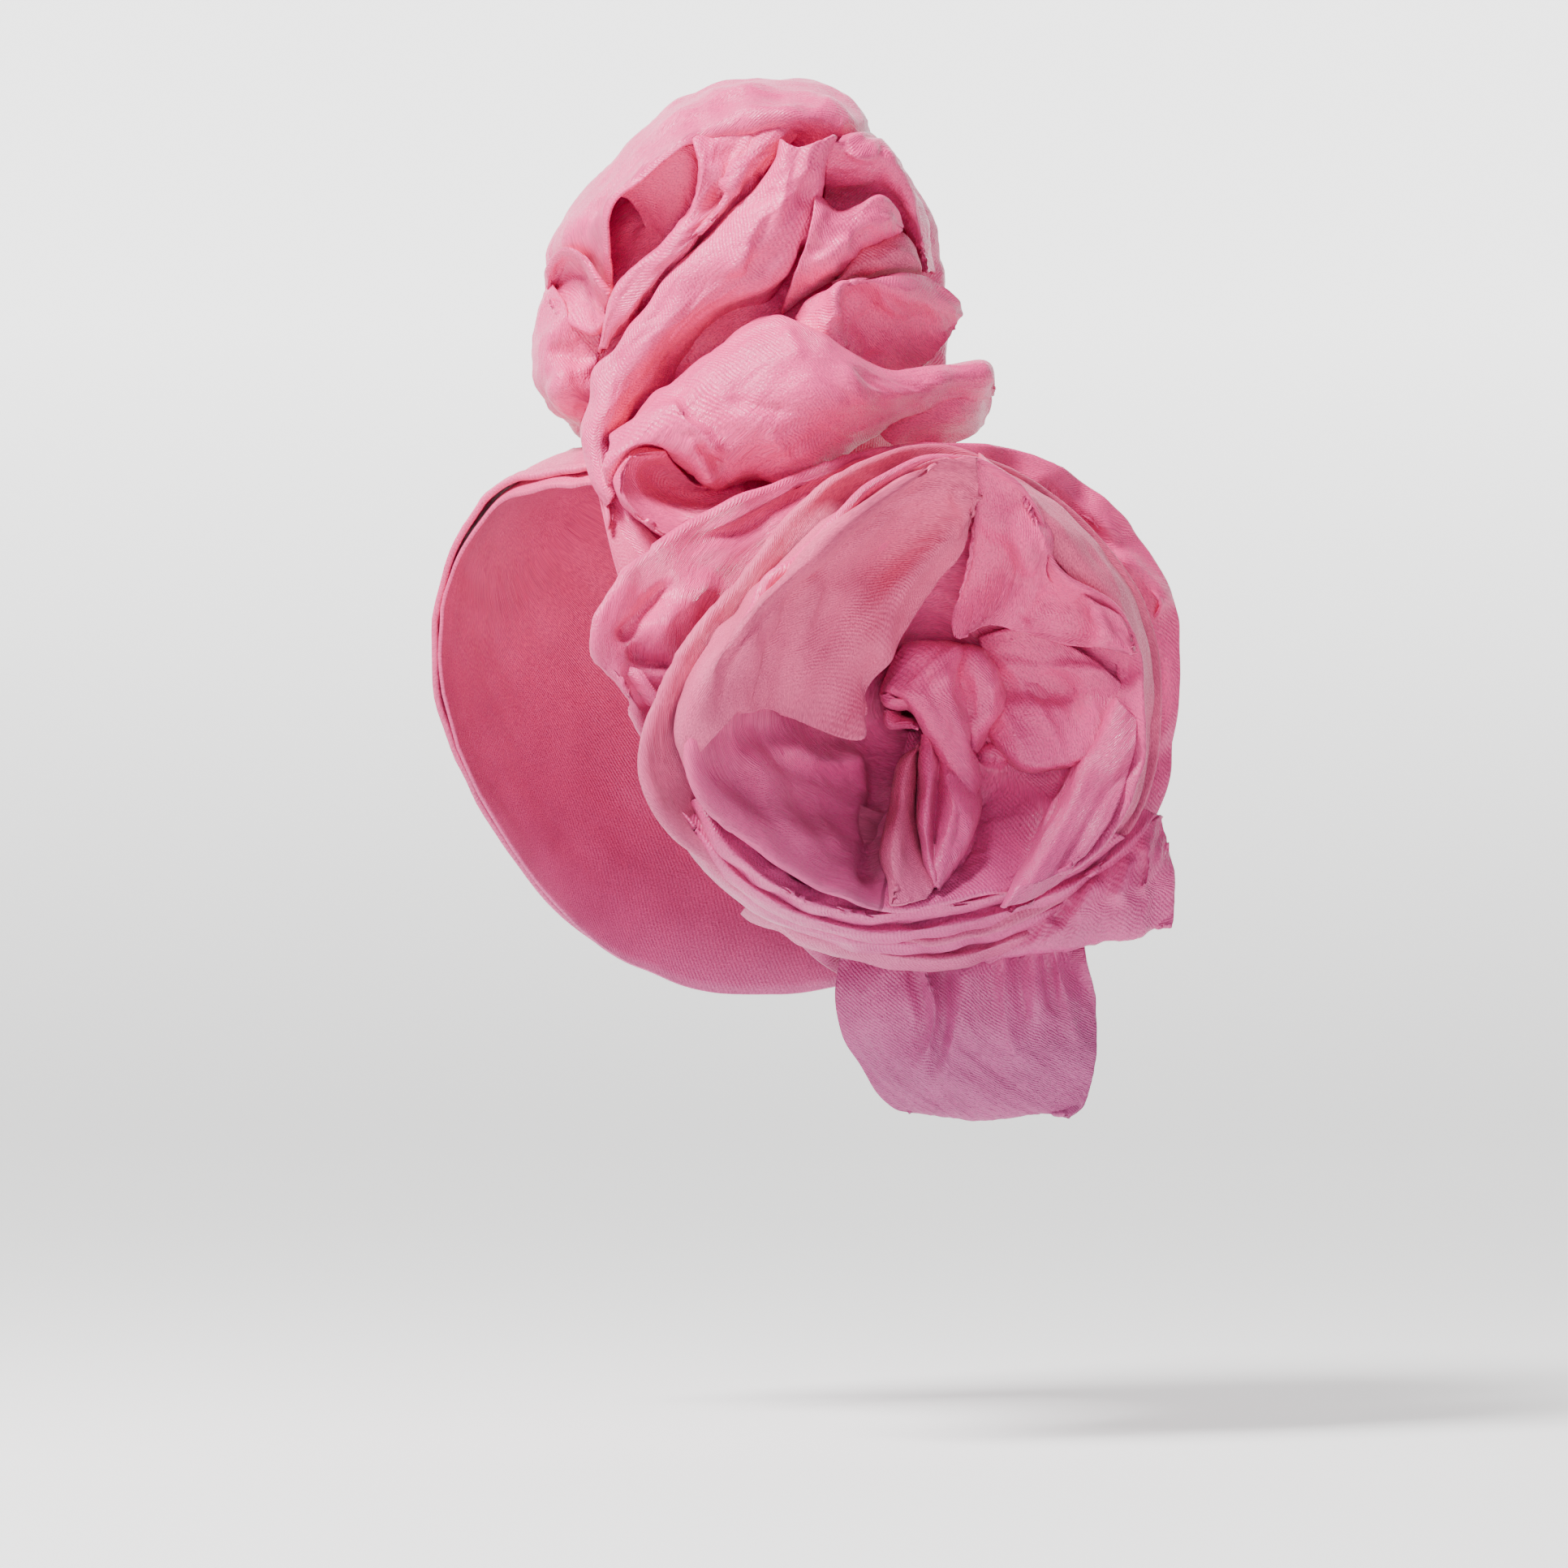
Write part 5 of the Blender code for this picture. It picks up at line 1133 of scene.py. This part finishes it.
def crumpled(grid, noise, number=0, ring=False):
    """The sheet moved along its normals: soft waves, and long thin ridges that run along the cloth.

    The ridges are a level less the size of the noise, so that they are sharp above and broad below."""
    seed = noise.seed + number
    place = laid_flat(grid, ring)
    long, short = (RIDGE_LEVEL - np.abs(waves(place, seed + more, size)) for more, size in RIDGES)
    lift = noise.broad * waves(grid, seed, WAVE_SIZE) + noise.fine * (long + SHORT_SHARE * short)
    return grid + facing(normals(grid, ring)) * lift[..., None]


def link(tree, kind, at=None, into=None, **settings):
    """One node with its settings. at gives input values by name, and into is the socket that it feeds."""
    node = tree.nodes.new(kind)
    for key, value in settings.items():
        setattr(node, key, value)
    for key, value in (at or {}).items():
        if hasattr(value, "is_output"):
            tree.links.new(value, node.inputs[key])
        else:
            node.inputs[key].default_value = value
    if into is not None:
        tree.links.new(node.outputs[0], into)
    return node


def linear(code):
    """An sRGB hex colour as linear red, green, blue and alpha."""
    values = [int(code[k : k + 2], 16) / 255 for k in (0, 2, 4)]
    return tuple(v / 12.92 if v <= 0.04045 else ((v + 0.055) / 1.055) ** 2.4 for v in values) + (1.0,)


def remapped(tree, value, known, wanted=(0.0, 1.0), into=None):
    """A value turned from its known range into the wanted one, and held inside it."""
    values = {"Value": value}
    values.update({"From Min": known[0], "From Max": known[1], "To Min": wanted[0], "To Max": wanted[1]})
    return link(tree, "ShaderNodeMapRange", values, into).outputs[0]


def speckle(tree, place, scale, detail, roughness=0.5, distortion=0.0):
    """Cloudy noise, with its scale in lumps per metre."""
    values = {"Vector": place, "Scale": scale, "Detail": detail}
    values.update({"Roughness": roughness, "Distortion": distortion})
    return link(tree, "ShaderNodeTexNoise", values).outputs["Fac"]


def math_node(tree, operation, first, second):
    """Two values multiplied or added."""
    return link(tree, "ShaderNodeMath", {0: first, 1: second}, operation=operation).outputs[0]


def scaled(tree, colour, factor, into=None):
    """A colour times a factor."""
    node = link(tree, "ShaderNodeVectorMath", {0: colour, "Scale": factor}, into, operation="SCALE")
    return node.outputs[0]


def raised(tree, height, strength, distance, under=None, into=None):
    """A bump of a height over the one under it, with its distance in metres."""
    values = {"Height": height, "Strength": strength, "Distance": distance}
    if under is not None:
        values["Normal"] = under
    return link(tree, "ShaderNodeBump", values, into).outputs[0]


def colour_and_painted_sheen(tree, place, satin):
    """The satin's colour: a painted lilac sheen that makes it lilac and darker lower down, and slightly
    mottled.
    """
    # Painted sheen: the colour turns lilac and darker lower down, by height
    height = link(tree, "ShaderNodeSeparateXYZ", {"Vector": place}).outputs["Z"]
    painted_sheen_share = remapped(tree, height, SHEEN_TINT_HEIGHTS)
    colours = {"Factor": painted_sheen_share, "A": linear(satin.upper), "B": linear(satin.lower)}
    tint = link(tree, "ShaderNodeMix", colours, data_type="RGBA").outputs["Result"]
    mottle = speckle(tree, place, MOTTLE_SCALE, detail=4.0)
    return scaled(tree, tint, remapped(tree, mottle, MOTTLE_RANGE, MOTTLE_SHADES))


def twill_lines(tree, spread):
    """Lines that slant across the cloth."""
    slanted = link(tree, "ShaderNodeMapping", {"Vector": spread, "Rotation": (0, 0, TWILL_SLANT)}).outputs[0]
    values = {"Vector": slanted, "Scale": TWILL_SCALE, "Distortion": 0.3, "Detail": 2.0, "Detail Scale": 2.0}
    return link(tree, "ShaderNodeTexWave", values, wave_type="BANDS", bands_direction="X").outputs["Fac"]


def crinkled(tree, spread, crush):
    """The crinkles, each kind as a bump over the one before."""
    drawn = link(tree, "ShaderNodeMapping", {"Vector": spread, "Scale": CRINKLE_DRAWN}).outputs[0]
    under = None
    for kind in CRINKLES:
        lumps = speckle(tree, drawn, kind.scale, kind.detail, kind.roughness, kind.distortion)
        under = raised(tree, lumps, kind.strength * crush, kind.depth, under)
    return under


def woven_satin(satin):
    """Woven polyester satin: a soft sheen that gathers on the folds, slanted twill lines and fine specks."""
    material = bpy.data.materials.new(satin.name)
    material.use_nodes = True
    tree = material.node_tree
    inputs = tree.nodes["Principled BSDF"].inputs
    inputs["Specular IOR Level"].default_value = 0.5
    inputs["Sheen Weight"].default_value = 0.08
    inputs["Sheen Roughness"].default_value = 0.35
    inputs["Sheen Tint"].default_value = linear("FFD9E6")
    place = link(tree, "ShaderNodeTexCoord").outputs
    specks = speckle(tree, place["UV"], SPECK_SCALE, detail=2.0)
    weave = math_node(tree, "MULTIPLY", twill_lines(tree, place["UV"]), TWILL_SHARE)
    crinkles = crinkled(tree, place["UV"], satin.crush)
    raised(tree, math_node(tree, "ADD", weave, specks), 1.0, WEAVE_DEPTH, crinkles, inputs["Normal"])
    # The specks differ in colour and in shine: the shinier ones are painted brighter, as glints
    colour = colour_and_painted_sheen(tree, place["Object"], satin)
    scaled(tree, colour, remapped(tree, specks, SPECK_RANGE, SPECK_TONE_AND_GLINT), inputs["Base Color"])
    dull, shiny = satin.rough + SPECK_DULL, satin.rough - SPECK_SHINE
    remapped(tree, specks, SPECK_RANGE, (dull, shiny), inputs["Roughness"])
    return material


def grid_faces(rows, count, ring):
    """The faces of a grid of rows and columns, as lists of point numbers. A ring closes over its columns."""
    row, col = np.meshgrid(np.arange(rows - 1), np.arange(count if ring else count - 1), indexing="ij")
    after = (col + 1) % count
    corners = (row * count + col, (row + 1) * count + col, (row + 1) * count + after, row * count + after)
    return np.stack(corners, axis=-1).reshape(-1, 4).tolist()


def cloth_mesh(name, grid, ring, pole):
    """A smooth mesh over points in millimetres, with a UV map in metres. A pole closes the last row."""
    rows, count = grid.shape[:2]
    points = grid.reshape(-1, 3)
    spread = np.stack([arc_lengths(grid, 1), arc_lengths(grid, 0)], axis=-1).reshape(-1, 2) * MM
    faces = grid_faces(rows, count, ring)
    if pole is not None:
        points = np.concatenate([points, np.reshape(pole, (1, 3))])
        spread = np.concatenate([spread, spread[-1:]])
        top = (rows - 1) * count
        faces += [(top + k, rows * count, top + (k + 1) % count) for k in range(count)]
    mesh = bpy.data.meshes.new(name)
    mesh.from_pydata((points * MM).tolist(), [], faces)
    corner = np.zeros(len(mesh.loops), np.int32)
    mesh.loops.foreach_get("vertex_index", corner)
    mesh.uv_layers.new(name="cloth").data.foreach_set("uv", spread[corner].ravel())
    mesh.shade_smooth()
    return mesh


def turn_outward(mesh, centre):
    """Turns the faces to the viewer, or away from a centre in millimetres."""
    normal, place = np.zeros(len(mesh.polygons) * 3), np.zeros(len(mesh.polygons) * 3)
    mesh.polygons.foreach_get("normal", normal)
    mesh.polygons.foreach_get("center", place)
    out = VIEWER if centre is None else place.reshape(-1, 3) - np.array(centre, float) * MM
    if (normal.reshape(-1, 3) * out).sum() < 0:
        mesh.flip_normals()


def cloth(name, grid, satin, ring=False, pole=None, wall=PLY, centre=None):
    """A piece of cloth from a grid of points in millimetres, with its wall laid inward."""
    mesh = cloth_mesh(name, grid, ring, pole)
    turn_outward(mesh, centre)
    mesh.materials.append(satin)
    piece = bpy.data.objects.new(name, mesh)
    bpy.context.scene.collection.objects.link(piece)
    thick = piece.modifiers.new("wall", "SOLIDIFY")
    thick.thickness = wall * MM
    thick.offset = -1
    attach(piece, "root")
    return piece


def crown_base(turn, rise):
    """The crown's plain form on the cap: an ellipse at each rise, turn in degrees from the viewer's side."""
    table = columns(CROWN_RINGS)
    rows = np.linspace(0, 1, len(table))
    up, wide, deep, lean = (spline(rows, table[:, k], rise) for k in range(4))
    angle = np.radians(turn)
    across = CROWN_OFFSET + (lean + np.maximum(wide, 0) * np.sin(angle)) * CROWN_WIDTH / 2
    toward = np.maximum(deep, 0) * np.cos(angle) * CROWN_DEPTH / 2
    points = dressed(across, up * CROWN_HEIGHT, toward)
    away = np.hypot(points[..., 0] / (CAP_BREADTH / 2), points[..., 1] / (CAP_LENGTH / 2))
    seat = CROWN_SEAT - np.clip(away, 0, 1) ** 2 * CROWN_SEAT_FALL
    points[..., 2] += (seat - points[..., 2]) * np.clip(1 - rise * (len(table) - 1), 0, 1)
    return points


def crown_at(turn, height):
    """The crown's plain form at a share of its height."""
    table = columns(CROWN_RINGS)
    fine = np.linspace(0, 1, 400)
    rise = np.interp(height, spline(np.linspace(0, 1, len(table)), table[:, 0], fine), fine)
    return crown_base(turn, rise)


def fold_lift(fold, base):
    """The lift of one fold of the crown: a rounded arch along its path, lower at its ends."""
    knots = np.array(fold.path, float)
    fine = np.linspace(0, len(knots) - 1, FOLD_STEPS)
    turns, heights = (spline(np.arange(len(knots)), knots[:, k], fine) for k in (0, 1))
    gap = np.linalg.norm(base[:, :, None, :] - crown_at(turns, heights), axis=-1)
    share = gap.argmin(axis=2) / (len(fine) - 1)
    taper = np.clip(np.sin(np.pi * np.clip(share, FOLD_END, 1 - FOLD_END)), 0, 1) ** FOLD_TAPER
    width = max(fold.left, fold.right) * (CROWN_WIDTH / 2)
    arch = np.clip(1 - (gap.min(axis=2) / width) ** 2, 0, 1) ** FOLD_ROUND
    return fold.lift * (CROWN_WIDTH / 2) * taper * arch


def crown_surface(rows, around):
    """The crown behind its folded sheets: the plain form raised along each fold and sunk under the sheets."""
    rise = np.linspace(0, 1, rows + 1)[:-1, None]
    turn = 180 + np.linspace(0, 360, around, endpoint=False)[None, :]
    base = crown_base(turn, rise + 0 * turn)
    normal = normals(base, ring=True)
    if (normal * (base - base.mean(axis=(0, 1)))).sum() < 0:
        normal = -normal
    lift = np.zeros(base.shape[:-1])
    for fold in CROWN_FOLDS:
        lift = np.maximum(lift, fold_lift(fold, base))
    fade = np.clip(rise / CROWN_FADE[0], 0, 1) * np.clip((1 - rise) / CROWN_FADE[1], 0, 1)
    front = np.clip(np.cos(np.radians(turn)), 0, 1)
    sunk = CROWN_SUNK * front * np.clip(rise / SUNK_FADE, 0, 1) * np.clip((1 - rise) / SUNK_FADE, 0, 1)
    rough = sum(size * waves(base, seed, length) for size, seed, length in CROWN_WAVES)
    return base + normal * (lift * fade - sunk + rough * fade)[..., None]


def rim_radius(layer, angle):
    """The radius of a layer's rim at each angle."""
    table = columns(ROSETTE_RIMS)
    return spline(table[:, 0], table[:, Rim._fields.index(layer.rim)], angle, 360) * ROSETTE_RADIUS


def layer_level(layer, radius, angle):
    """How high a layer stands over the seat: a power of the share from its sewn edge to its rim."""
    rim = rim_radius(layer, angle)
    base = layer.base * ROSETTE_RADIUS
    share = np.clip((radius - base) / (rim - base), 0, 1)
    number = ROSETTE_LAYERS.index(layer)
    low = BOWL_FLOOR * BOWL_LIFT
    if number:
        low = layer_level(ROSETTE_LAYERS[number - 1], base, angle) - LAYER_GAP
    return low + (layer.high * BOWL_LIFT - low) * share**layer.curve


def on_rosette(across, up, stand):
    """Points of the rosette: across and up from its centre, standing over its slanted seat."""
    toward = ROSETTE_SEAT + stand - ROSETTE_SLANT * across
    return dressed(ROSETTE_ACROSS + across, up - ROSETTE_DROP, toward)


def seam_angles(around):
    """Angles round the rosette in degrees, from its seam on, counterclockwise as seen."""
    return (SEAM_ANGLE + np.linspace(0, 360, around, endpoint=False)) % 360


def layer_net(layer, rows, around):
    """A layer of the rosette from its sewn edge to its rim, closed around. The last one starts at the cap."""
    angle = seam_angles(around)[None, :]
    rim = rim_radius(layer, angle)
    base = layer.base * ROSETTE_RADIUS
    radius = base + (rim - base) * np.linspace(0, 1, rows)[:, None]
    turn = np.radians(angle)
    grid = on_rosette(radius * np.cos(turn), radius * np.sin(turn), layer_level(layer, radius, angle))
    if layer is not ROSETTE_LAYERS[-1]:
        return grid
    across = ROSETTE_ACROSS - NECK_SHIFT + NECK_RADIUS * np.cos(turn)
    up = NECK_RADIUS * np.sin(turn) - ROSETTE_DROP
    neck = dressed(across, up, cap_toward(across, up, CAP_EASE + CAP_WALL + NECK_GAP))
    share = np.linspace(0, 1, NECK_ROWS + 1)[:-1, None, None]
    return np.concatenate([neck + (grid[:1] - neck) * share, grid])


def rim_lines(path):
    """Lines of a soft rim along a path: tucked in, up over the edge, and down outside it.

    Both ends sink in, and the profile is lower at the path's end."""
    table = columns(path)
    out = unit(table[:, :2] - (ROSETTE_ACROSS, -ROSETTE_DROP))
    share = np.linspace(0, 1, len(table))
    started, ending = np.clip(share * RIM_FADE, 0, 1), np.clip((1 - share) * RIM_FADE, 0, 1)
    height = table[:, 2] - RIM_SINK * (1 - started) - RIM_SINK / 2 * (1 - ending)
    low = RIM_END + (1 - RIM_END) * ending
    return [np.column_stack([table[:, :2] + out * step, height + rise * low]) for step, rise in RIM_PROFILE]


def cap_edge(turn):
    """How low the cap's edge lies at each turn, as a share of its depth."""
    edges = columns(CAP_EDGE)
    return spline(edges[:, 0], edges[:, 1], turn, 360)


def make_cap(satin):
    """The cap from its edge up to its top, with rows that come closer together there."""
    turn = CAP_SEAM + np.linspace(0, 360, CAP_AROUND, endpoint=False)[None, :]
    share = (np.linspace(1, 0, CAP_ROWS)[:-1, None]) ** ROW_POWER
    grid = cap_point(turn + 0 * share, cap_edge(turn) * share, CAP_EASE + CAP_WALL)
    grid = crumpled(grid, CAP_NOISE, ring=True)
    top = (0, 0, CAP_EASE + CAP_WALL)
    cap = cloth("cap_cloth", grid, satin, ring=True, pole=top, wall=CAP_CLOTH, centre=CAP_MIDDLE)
    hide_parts("cap")
    return cap


def make_brow_band(satin):
    """The second layer over the cap's front edge, with a hem along its lower side."""
    turn = np.linspace(*BAND_TURNS, BAND_ALONG)[None, :]
    low = cap_edge(turn) - BAND_SHOWN
    high = np.maximum(BAND_TOP, low - BAND_REACH)
    drop = low + (high - low) * np.linspace(1, 0, BAND_ROWS)[:, None]
    grid = cap_point(turn + 0 * drop, drop, CAP_EASE + CAP_WALL + BAND_STAND)
    grid = rolled(crumpled(grid, BAND_NOISE), BAND_HEM, BAND_HEM_DEPTH)
    band = cloth("brow_band_cloth", grid, satin, wall=BAND_CLOTH, centre=CAP_MIDDLE)
    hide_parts("brow_band")


def make_crown(satin):
    """The crown's plain cloth, which shows behind and between its folded sheets."""
    grid = crown_surface(rows=120, around=240)
    top = crown_base(np.array(0.0), np.array(1.0))
    crown = cloth("crown_puff_cloth", grid, satin, ring=True, pole=top, centre=CROWN_MIDDLE)
    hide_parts("crown_puff")
    return crown


def side_satin(satins, name):
    """The satin of a sheet: its front, or its reverse where the photograph shows that side."""
    return satins["reverse" if name in REVERSE_SHEETS else "front"]


def lay_sheet(sheet, grid, noise, number, satins):
    """One sheet with its creases and noise, in the place of its own node or as a fold of another one's."""
    grid = crumpled(creased(grid, sheet.name), noise, number)
    piece = cloth(sheet.name + "_cloth", grid, side_satin(satins, sheet.name))
    if sheet.node:
        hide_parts(sheet.node)


def make_crown_sheets(satins):
    """The folded sheets over the crown, and the scroll below them."""
    for number, sheet in enumerate(CROWN_SHEETS):
        grid = net(sheet.lines, sheet.rows, sheet.along)
        lay_sheet(sheet, grid, SHEET_NOISE, number, satins)


def make_rosette_layers(satins):
    """The three ruffled layers, each with a rolled rim that is softer at the left."""
    for number, layer in enumerate(ROSETTE_LAYERS):
        grid = layer_net(layer, layer.rows, LAYER_AROUND)
        grid = crumpled(creased(grid, layer.name, ring=True), LAYER_NOISE, number, ring=True)
        soft = np.interp(seam_angles(grid.shape[1]), *zip(*ROLL_RADII))
        grid = rolled(grid, soft, ROLL_DEPTH, ring=True)
        piece = cloth(layer.name + "_cloth", grid, side_satin(satins, layer.name), ring=True)
        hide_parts(layer.name)


def make_inner_sheets(satins):
    """The petals, knot and twist in the rosette's bowl, and the bands and soft rims round it."""
    rims = tuple(
        Sheet("rosette_low_rim_%d" % number, rim_lines(path), None, "folded", rows=26, along=200)
        for number, path in enumerate(LOW_RIMS)
    )
    for number, sheet in enumerate(INNER_SHEETS + rims):
        over_bowl = not ("rim" in sheet.name or "petal_band" in sheet.name)
        grid = seat_net(sheet.lines, sheet.rows, sheet.along, over_bowl)
        noise = PETAL_NOISE if "petal" in sheet.name else INNER_NOISE
        lay_sheet(sheet, grid, noise, number, satins)


def make_loops(satin):
    """The flattened loops of the tail and the wing, whose lines run round them."""
    for number, (name, lines) in enumerate((("tail_loop", TAIL), ("wing_loop", WING))):
        grid = creased(net(lines, rows=110, along=90), name, loop=True)
        grid = crumpled(grid.transpose(1, 0, 2), LOOP_NOISE, number)
        piece = cloth(name + "_cloth", grid, satin, wall=LOOP_CLOTH, centre=grid.mean(axis=(0, 1)))
        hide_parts(name)


def make_pieces():
    """Every piece of the head tie, each in the place of its node."""
    satins = {side: woven_satin(satin) for side, satin in SATINS.items()}
    cap = make_cap(satins["smooth"])
    make_brow_band(satins["smooth"])
    crown = make_crown(satins["front"])
    make_crown_sheets(satins)
    make_rosette_layers(satins)
    make_inner_sheets(satins)
    make_loops(satins["front"])


def floor_paint():
    """Pale paint that glows a little, and more higher up, so that the backdrop is even."""
    pale = bpy.data.materials.new("painted_floor")
    pale.use_nodes = True
    tree = pale.node_tree
    inputs = tree.nodes["Principled BSDF"].inputs
    inputs["Base Color"].default_value = linear("F7F6F5")
    inputs["Roughness"].default_value = 0.9
    inputs["Emission Color"].default_value = linear("FFFFFF")
    place = link(tree, "ShaderNodeTexCoord").outputs["Object"]
    height = link(tree, "ShaderNodeSeparateXYZ", {"Vector": place}).outputs["Z"]
    remapped(tree, height, (FLOOR_LEVEL, GLOW_HEIGHT), FLOOR_GLOW, inputs["Emission Strength"])
    return pale


def make_floor():
    """A floor that runs to the back and curves up into a wall there."""
    fine = np.linspace(0, math.pi / 2, 24)
    start = FLOOR_BACK - FLOOR_BEND
    runs = np.concatenate([[FLOOR_FRONT, 0.0, start], start + FLOOR_BEND * np.sin(fine[1:]), [FLOOR_BACK]])
    bent = FLOOR_LEVEL + FLOOR_BEND - FLOOR_BEND * np.cos(fine[1:])
    rises = np.concatenate([[FLOOR_LEVEL] * 3, bent, [WALL_TOP]])
    wide = np.array([-FLOOR_HALF, FLOOR_HALF])[:, None]
    points = dressed(wide + 0 * runs, rises + 0 * wide, -runs + 0 * wide).reshape(-1, 3)
    count = len(runs)
    faces = [(k, k + 1, count + k + 1, count + k) for k in range(count - 1)]
    mesh = bpy.data.meshes.new("floor")
    mesh.from_pydata(points.tolist(), [], faces)
    mesh.shade_smooth()
    mesh.materials.append(floor_paint())
    floor = bpy.data.objects.new("floor", mesh)
    bpy.context.scene.collection.objects.link(floor)


def make_world():
    """A weak white light from all sides."""
    world = bpy.data.worlds.new("studio")
    world.use_nodes = True
    world.node_tree.nodes["Background"].inputs["Color"].default_value = linear("FFFFFF")
    world.node_tree.nodes["Background"].inputs["Strength"].default_value = WORLD_LIGHT
    bpy.context.scene.world = world


def make_lamps():
    """Soft square lamps round the part."""
    aim = Vector(dressed(*LAMP_AIM) * MM)
    for name, turn, rise, power, size in LAMPS:
        lamp = bpy.data.lights.new(name, "AREA")
        lamp.energy = power
        lamp.size = size
        holder = bpy.data.objects.new(name, lamp)
        a, e = math.radians(turn), math.radians(rise)
        away = Vector((math.sin(a) * math.cos(e), -math.cos(a) * math.cos(e), math.sin(e)))
        holder.location = aim + away * LAMP_DISTANCE
        holder.rotation_euler = away.to_track_quat("Z", "Y").to_euler()
        bpy.context.scene.collection.objects.link(holder)


def make_camera():
    """The camera at the photograph's viewing angle."""
    lens = bpy.data.cameras.new("camera")
    lens.sensor_width = SENSOR
    lens.lens = SENSOR * CAMERA_DISTANCE / (PICTURE_WIDTH * MM)
    camera = bpy.data.objects.new("camera", lens)
    away = Vector(VIEWER)
    camera.location = Vector(dressed(*PICTURE_MIDDLE) * MM) + away * CAMERA_DISTANCE
    camera.rotation_euler = away.to_track_quat("Z", "Y").to_euler()
    bpy.context.scene.collection.objects.link(camera)
    bpy.context.scene.camera = camera


make_pieces()
make_floor()
make_world()
make_lamps()
make_camera()
